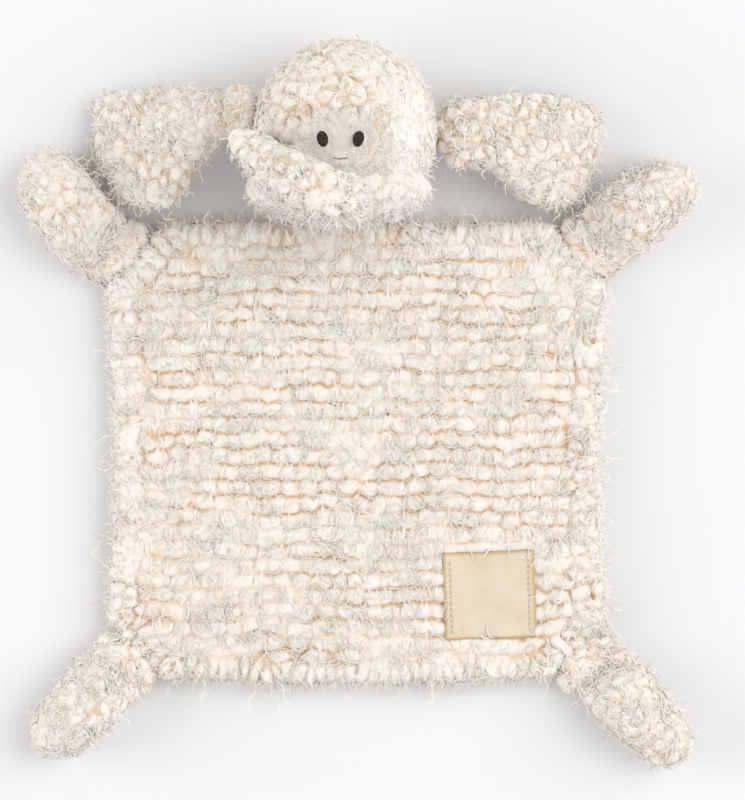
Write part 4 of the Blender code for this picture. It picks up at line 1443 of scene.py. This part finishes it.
class LOVEY_OT_cuffs(bpy.types.Operator):
    """Comb locks over the joints of the paws and ears"""

    bl_idname = "lovey.cuffs"
    bl_label = "Cuffs over the joints"

    def execute(self, context):
        limbs = ("left_arm", "right_arm", "left_leg", "right_leg", "left_ear", "right_ear")
        for number, limb in enumerate(limbs):
            source = np.random.default_rng(91 + number)
            joint = joint_named(limb + "_lift")
            hinge, axis, held = Vector(joint["pos_m"]), Vector(joint["axis"]), joint["parent"]
            own, near, radii, count, half, slot = (
                [limb + "_pile"], limb + "_cover", (0.0200, 0.0125, 0.0096), 240, 0.022, "paw_pile"
            )
            if limb.endswith("ear"):
                own, near, radii, count, half, slot = (
                    [limb + "_front_pile", limb + "_back_pile"], limb + "_front",
                    (0.0135, 0.0100, 0.0105), 200, 0.020, "ear_pile",
                )
            roll = self.roll(limb, hinge, axis, radii, held, source)
            skins = [held + "_front_pile", held + "_back_pile", roll.name, *own]
            outward = axis.cross(Vector((0, 0, 1))).normalized()
            if outward.dot(middle_of(near) - hinge) < 0:
                outward = -outward
            roots = []
            for _ in range(count):
                side = source.uniform(-half, half)
                over = 0.02 if source.uniform() < 0.68 else -0.02
                back = source.uniform(0.000, 0.009)
                roots.append(hinge + axis * side - outward * back + Vector((0, 0, over)))
            headings = np.array(outward) + source.normal(0, 0.28, (count, 3))
            lengths = source.uniform(0.009, 0.018, count)
            coat = Coat(None, slot, source, *(bpy.data.objects[name] for name in skins))
            cuff = coat.combed(
                limb + "_cuff", np.array(roots), headings, lengths, 0.0008, 0.0020, locks=True, cuff=True
            )
            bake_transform(cuff, held, limb, start=hinge - outward * 0.004, end=hinge + outward * 0.010)
            if held == "head":
                self.gold(limb, Coat("head", "head_pile", source, roll), outward)
        return {"FINISHED"}

    def roll(self, limb, hinge, axis, radii, body, source):
        """A roll of gathered pile round the hinge, which fills the joint however far the limb is lifted."""
        slot = "head_pile" if body == "head" else "paw_pile"
        depth, turn = settings("pile").tuft_depth * 0.8, math.atan2(axis.y, axis.x)
        piece = tufted_ball(limb + "_joint_roll", hinge, turn, radii, body, slot, source, depth)
        coat = Coat(body, slot, source, piece)
        calm(piece)
        top = np.flatnonzero(coat.normals[:, 2] > -0.3)
        coat.bobbles(limb + "_joint_loops", 170, 0.0085, 0.8, 0.8, among=top)
        return piece

    def gold(self, limb, coat, outward):
        """The golden ends of yarn in the hollow where an ear leaves the head."""
        count, source = 60, coat.source
        index = coat.pick(count, np.clip(coat.normals[:, 2], 0, 1))
        headings = coat.normals[index] * 0.7 + source.normal(0, 0.6, (count, 3)) + np.array(outward) * 0.9
        lengths = source.uniform(0.006, 0.014, count)
        coat.sprout(
            limb + "_root_yarn", index, headings, lengths, 8, 0.8, 0.1, 0.00032, blend=0.6, colours=EAR_ROOT
        )


class LOVEY_OT_neck(bpy.types.Operator):
    """Make the band that joins the head to the blanket"""

    bl_idname = "lovey.neck"
    bl_label = "Neck"

    def execute(self, context):
        source = np.random.default_rng(71)
        form = shell("neck_band", ("neck",), 0.0016)
        tuft_all_over(form, 0.0070, 0.0009, source, 0.35, 0.0016)
        dress(form, pile_finish("neck_cloth"), "neck_cloth", None, "neck")
        nubs = Coat(None, "neck_cloth", source, form).bobbles("neck_loops", 420, 0.0080, 0.8, 0.8)
        hinge, half = Vector(joint_named("neck_fold")["pos_m"]), Vector((0, 0.004, 0))
        for piece in (form, nubs):
            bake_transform(piece, "blanket", "head", start=hinge - half, end=hinge + half)
        return {"FINISHED"}


# The label


class LOVEY_OT_label(bpy.types.Operator):
    """Make the bare label and its running stitches"""

    bl_idname = "lovey.label"
    bl_label = "Label"

    def execute(self, context):
        source = np.random.default_rng(81)
        points, left = solid("label"), solid("label_thread_left")
        middle = (points.min(0) + points.max(0)) / 2
        run = left[np.argmax(left[:, 1])] - left[np.argmin(left[:, 1])]
        tilt = math.atan2(-run[0], run[1])
        sides = np.array(((math.cos(tilt), math.sin(tilt)), (-math.sin(tilt), math.cos(tilt))))
        half = self.reach(points, middle, sides).max(axis=0)
        piece = add(
            bpy.ops.mesh.primitive_grid_add, "label_cloth", x_subdivisions=54, y_subdivisions=52, size=2.0
        )
        flat = points_of(piece)
        rim = np.abs(flat[:, :2]).max(axis=1)
        bow = 0.0007 * drift(flat * 3.0, 1.0, 3) * rim**2
        waves = 0.0011 * drift(flat, 0.8, 4) + 0.0009 * drift(flat, 0.35, 5) * rim**3
        seamed = np.exp(-((np.abs(flat[:, 0]) - (1 - 0.0035 / half[0])) / 0.035) ** 2)
        lift = 0.0022 + waves - 0.0005 * seamed - 0.0012 * smooth_step(0.96, 1.0, rim)
        spread = flat[:, :2] * half
        spread = spread + bow[:, None] * np.sign(spread)
        placed = middle[:2] + sides[0] * spread[:, :1] + sides[1] * spread[:, 1:]
        set_points(piece, np.column_stack([placed, points[:, 2].max() + lift]))
        wall = piece.modifiers.new("cloth", "SOLIDIFY")
        wall.thickness = 0.0007
        wall.offset = 0.0
        apply_modifiers(piece)
        piece.data.shade_smooth()
        share = self.reach(points_of(piece), middle, sides) / half
        store(piece, "edge", smooth_step(0.90, 1.0, share.max(axis=1)))
        dress(piece, self.weave(tilt), "label_weave", "blanket", "label")
        cloth = Coat("blanket", "tufted_pile", source, piece, bpy.data.objects["blanket_front_pile"])
        threads = [self.thread(side, piece) for side in ("left", "right")]
        self.edge_yarn(cloth, middle, sides, half)
        return {"FINISHED"}

    def reach(self, points, middle, sides):
        """How far points lie from the label's middle along its two sides."""
        return np.stack([np.abs((points[:, :2] - middle[:2]) @ side) for side in sides], axis=1)

    def weave(self, tilt):
        """Plain weave with a worn middle and darker folded edges."""
        label = settings("label")
        finish = Finish("label_weave", 0.85, Sheen_Weight=0.15)
        place = finish.place(turn=-tilt)
        across = finish.node("ShaderNodeSeparateXYZ", inputs={0: place})
        down = Signal(finish, across.socket.node.outputs[1])
        pitch = math.pi * label.threads_per_metre
        weave = (across * pitch).sine() * (down * pitch).sine()
        worn = finish.mottle(place, 70.0, 3.0)
        shown = finish.mix((worn * 1.8 - 0.55).clamped(), label.cloth_colour, (0.76, 0.63, 0.44))
        shown = finish.mix((finish.attribute("edge") + worn * 0.5 - 0.3).clamped(), shown, label.edge_colour)
        shown = finish.mix((weave * 0.10 + 0.08).clamped(), shown, (0.58, 0.44, 0.27))
        finish.set("Base Color", shown)
        finish.bump(weave * 0.5 + finish.mottle(place, 3000.0) * 0.4, 0.0003, 0.7)
        return finish.material

    def edge_yarn(self, coat, middle, sides, half):
        """Curly yarns of the pile that lie over the label's edge."""
        source, count = coat.source, 14
        along, up = sides
        starts, headings = [], []
        for number in range(count):
            share = source.uniform(-0.95, 0.95)
            x, y = ((share, 1), (1, share), (share, -1), (-1, share))[number % 4]
            way = along * x + up * y if source.uniform() < 0.35 else along * y + up * x
            starts.append((*(middle[:2] + along * x * half[0] + up * y * half[1] - way * 0.004), 0.03))
            headings.append((*way, 0.0))
        lengths = source.uniform(0.006, 0.011, count)
        coat.trail(
            "label_edge_yarn", np.array(starts), np.array(headings), lengths, 9, 0.0006,
            settings("yarn").loose_radius * 1.3, coat.yarn, curl=0.8,
        )

    def thread(self, side, cloth):
        """One running stitch: it shows, dips through the label and shows again."""
        node, steps, stitches = "label_thread_" + side, 91, 13
        points = solid(node)
        low, high = points[np.argmin(points[:, 1])], points[np.argmax(points[:, 1])]
        tree = ground(cloth)
        shares = np.linspace(0, 1, steps)
        spine = low + (high - low) * shares[:, None]
        spine[:, 2] = 0.1
        for k in range(steps):
            hit = tree.ray_cast(Vector(spine[k]), Vector((0, 0, -1)))
            spine[k, 2] = hit[0].z if hit[0] is not None else spine[k - 1, 2]
        spine[:, 2] += 0.00045 * np.sin(shares * stitches * 2 * math.pi) + 0.00005
        finish = Finish(node, 0.7, Sheen_Weight=0.2)
        worn = finish.mottle(finish.place(), 1200.0)
        finish.set("Base Color", finish.mix(worn, settings("label").thread_colour, (0.72, 0.58, 0.36)))
        finish.bump(finish.mottle(finish.place(), 3200.0), 0.0002)
        radii = np.full((1, steps), 0.00042)
        made = strands(node + "_stitches", spine[None], radii, np.array([0.5]), finish.material)
        return dress(made, None, "label_thread", "blanket", node)


class LOVEY_OT_stage(bpy.types.Operator):
    """Set the floor, the light and the camera"""

    bl_idname = "lovey.stage"
    bl_label = "Stage"

    def execute(self, context):
        stage, scene = settings("stage"), context.scene
        floor = add(bpy.ops.mesh.primitive_plane_add, "floor", size=14.0)
        finish = Finish("floor", 0.9, Specular_IOR_Level=0.1)
        grain = finish.mottle(finish.place(), 3.0)
        finish.set("Base Color", finish.mix(grain * 0.2, stage.floor_colour, (0.815, 0.823, 0.838)))
        floor.data.materials.append(finish.material)

        world = scene.world = bpy.data.worlds.new("soft_room")
        world.use_nodes = True
        sky = world.node_tree.nodes["Background"]
        sky.inputs["Color"].default_value = (1.0, 0.98, 0.955, 1.0)
        sky.inputs["Strength"].default_value = stage.sky_strength

        aim = middle_of("blanket_front")
        for name, place, size, power in (
            ("key_light", (2.9, 0.75, 3.0), 4.0, stage.key_power),
            ("left_fill", (-2.8, 0.1, 1.2), 2.0, stage.key_power * 0.33),
            ("foot_fill", (-0.4, -2.8, 1.3), 2.0, stage.key_power * 0.05),
        ):
            lamp = bpy.data.lights.new(name, "AREA")
            lamp.shape = "SQUARE"
            lamp.size = size
            lamp.energy = power
            light = bpy.data.objects.new(name, lamp)
            light.location = place
            light.rotation_euler = (aim - Vector(place)).to_track_quat("-Z", "Y").to_euler()
            scene.collection.objects.link(light)

        lens = bpy.data.cameras.new("camera")
        lens.sensor_width = 36.0
        lens.lens = lens.sensor_width * stage.camera_height / stage.view_height
        lens.clip_end = 50.0
        camera = scene.camera = bpy.data.objects.new("camera", lens)
        scene.collection.objects.link(camera)
        aim = Vector((0.0093, 0.0330, 0.020))
        camera.location = aim + Vector((0.0, stage.camera_forward, stage.camera_height))
        camera.rotation_euler = (-math.atan2(stage.camera_forward, stage.camera_height), 0.0, 0.0)
        scene.view_settings.view_transform = "Standard"
        scene.cycles.diffuse_bounces = 12
        return {"FINISHED"}


class LOVEY_PT_panel(bpy.types.Panel):
    """Lists the lovey's settings and the steps that make it"""

    bl_idname = "LOVEY_PT_panel"
    bl_label = "Lovey"
    bl_space_type = "VIEW_3D"
    bl_region_type = "UI"
    bl_category = "Lovey"

    def draw(self, context):
        for name, group in GROUPS.items():
            box = self.layout.box()
            box.label(text=name.capitalize())
            for field in group.__annotations__:
                box.prop(settings(name), field)
        for operator in OPERATORS:
            self.layout.operator(operator.bl_idname)


GROUPS = {
    "pile": PileSettings,
    "yarn": YarnSettings,
    "face": FaceSettings,
    "label": LabelSettings,
    "stage": StageSettings,
}
OPERATORS = (
    LOVEY_OT_blanket,
    LOVEY_OT_blanket_yarn,
    LOVEY_OT_label,
    LOVEY_OT_head,
    LOVEY_OT_face,
    LOVEY_OT_trunk,
    LOVEY_OT_ears,
    LOVEY_OT_paws,
    LOVEY_OT_cuffs,
    LOVEY_OT_neck,
    LOVEY_OT_stage,
)


def register():
    for item in (*GROUPS.values(), *OPERATORS, LOVEY_PT_panel):
        bpy.utils.register_class(item)
    for name, group in GROUPS.items():
        setattr(bpy.types.Scene, "lovey_" + name, PointerProperty(type=group))


def unregister():
    for name in GROUPS:
        delattr(bpy.types.Scene, "lovey_" + name)
    for item in (LOVEY_PT_panel, *OPERATORS[::-1], *GROUPS.values()):
        bpy.utils.unregister_class(item)


def main():
    register()
    for operator in OPERATORS:
        getattr(bpy.ops.lovey, operator.bl_idname.split(".")[1])()


if __name__ == "__main__":
    main()
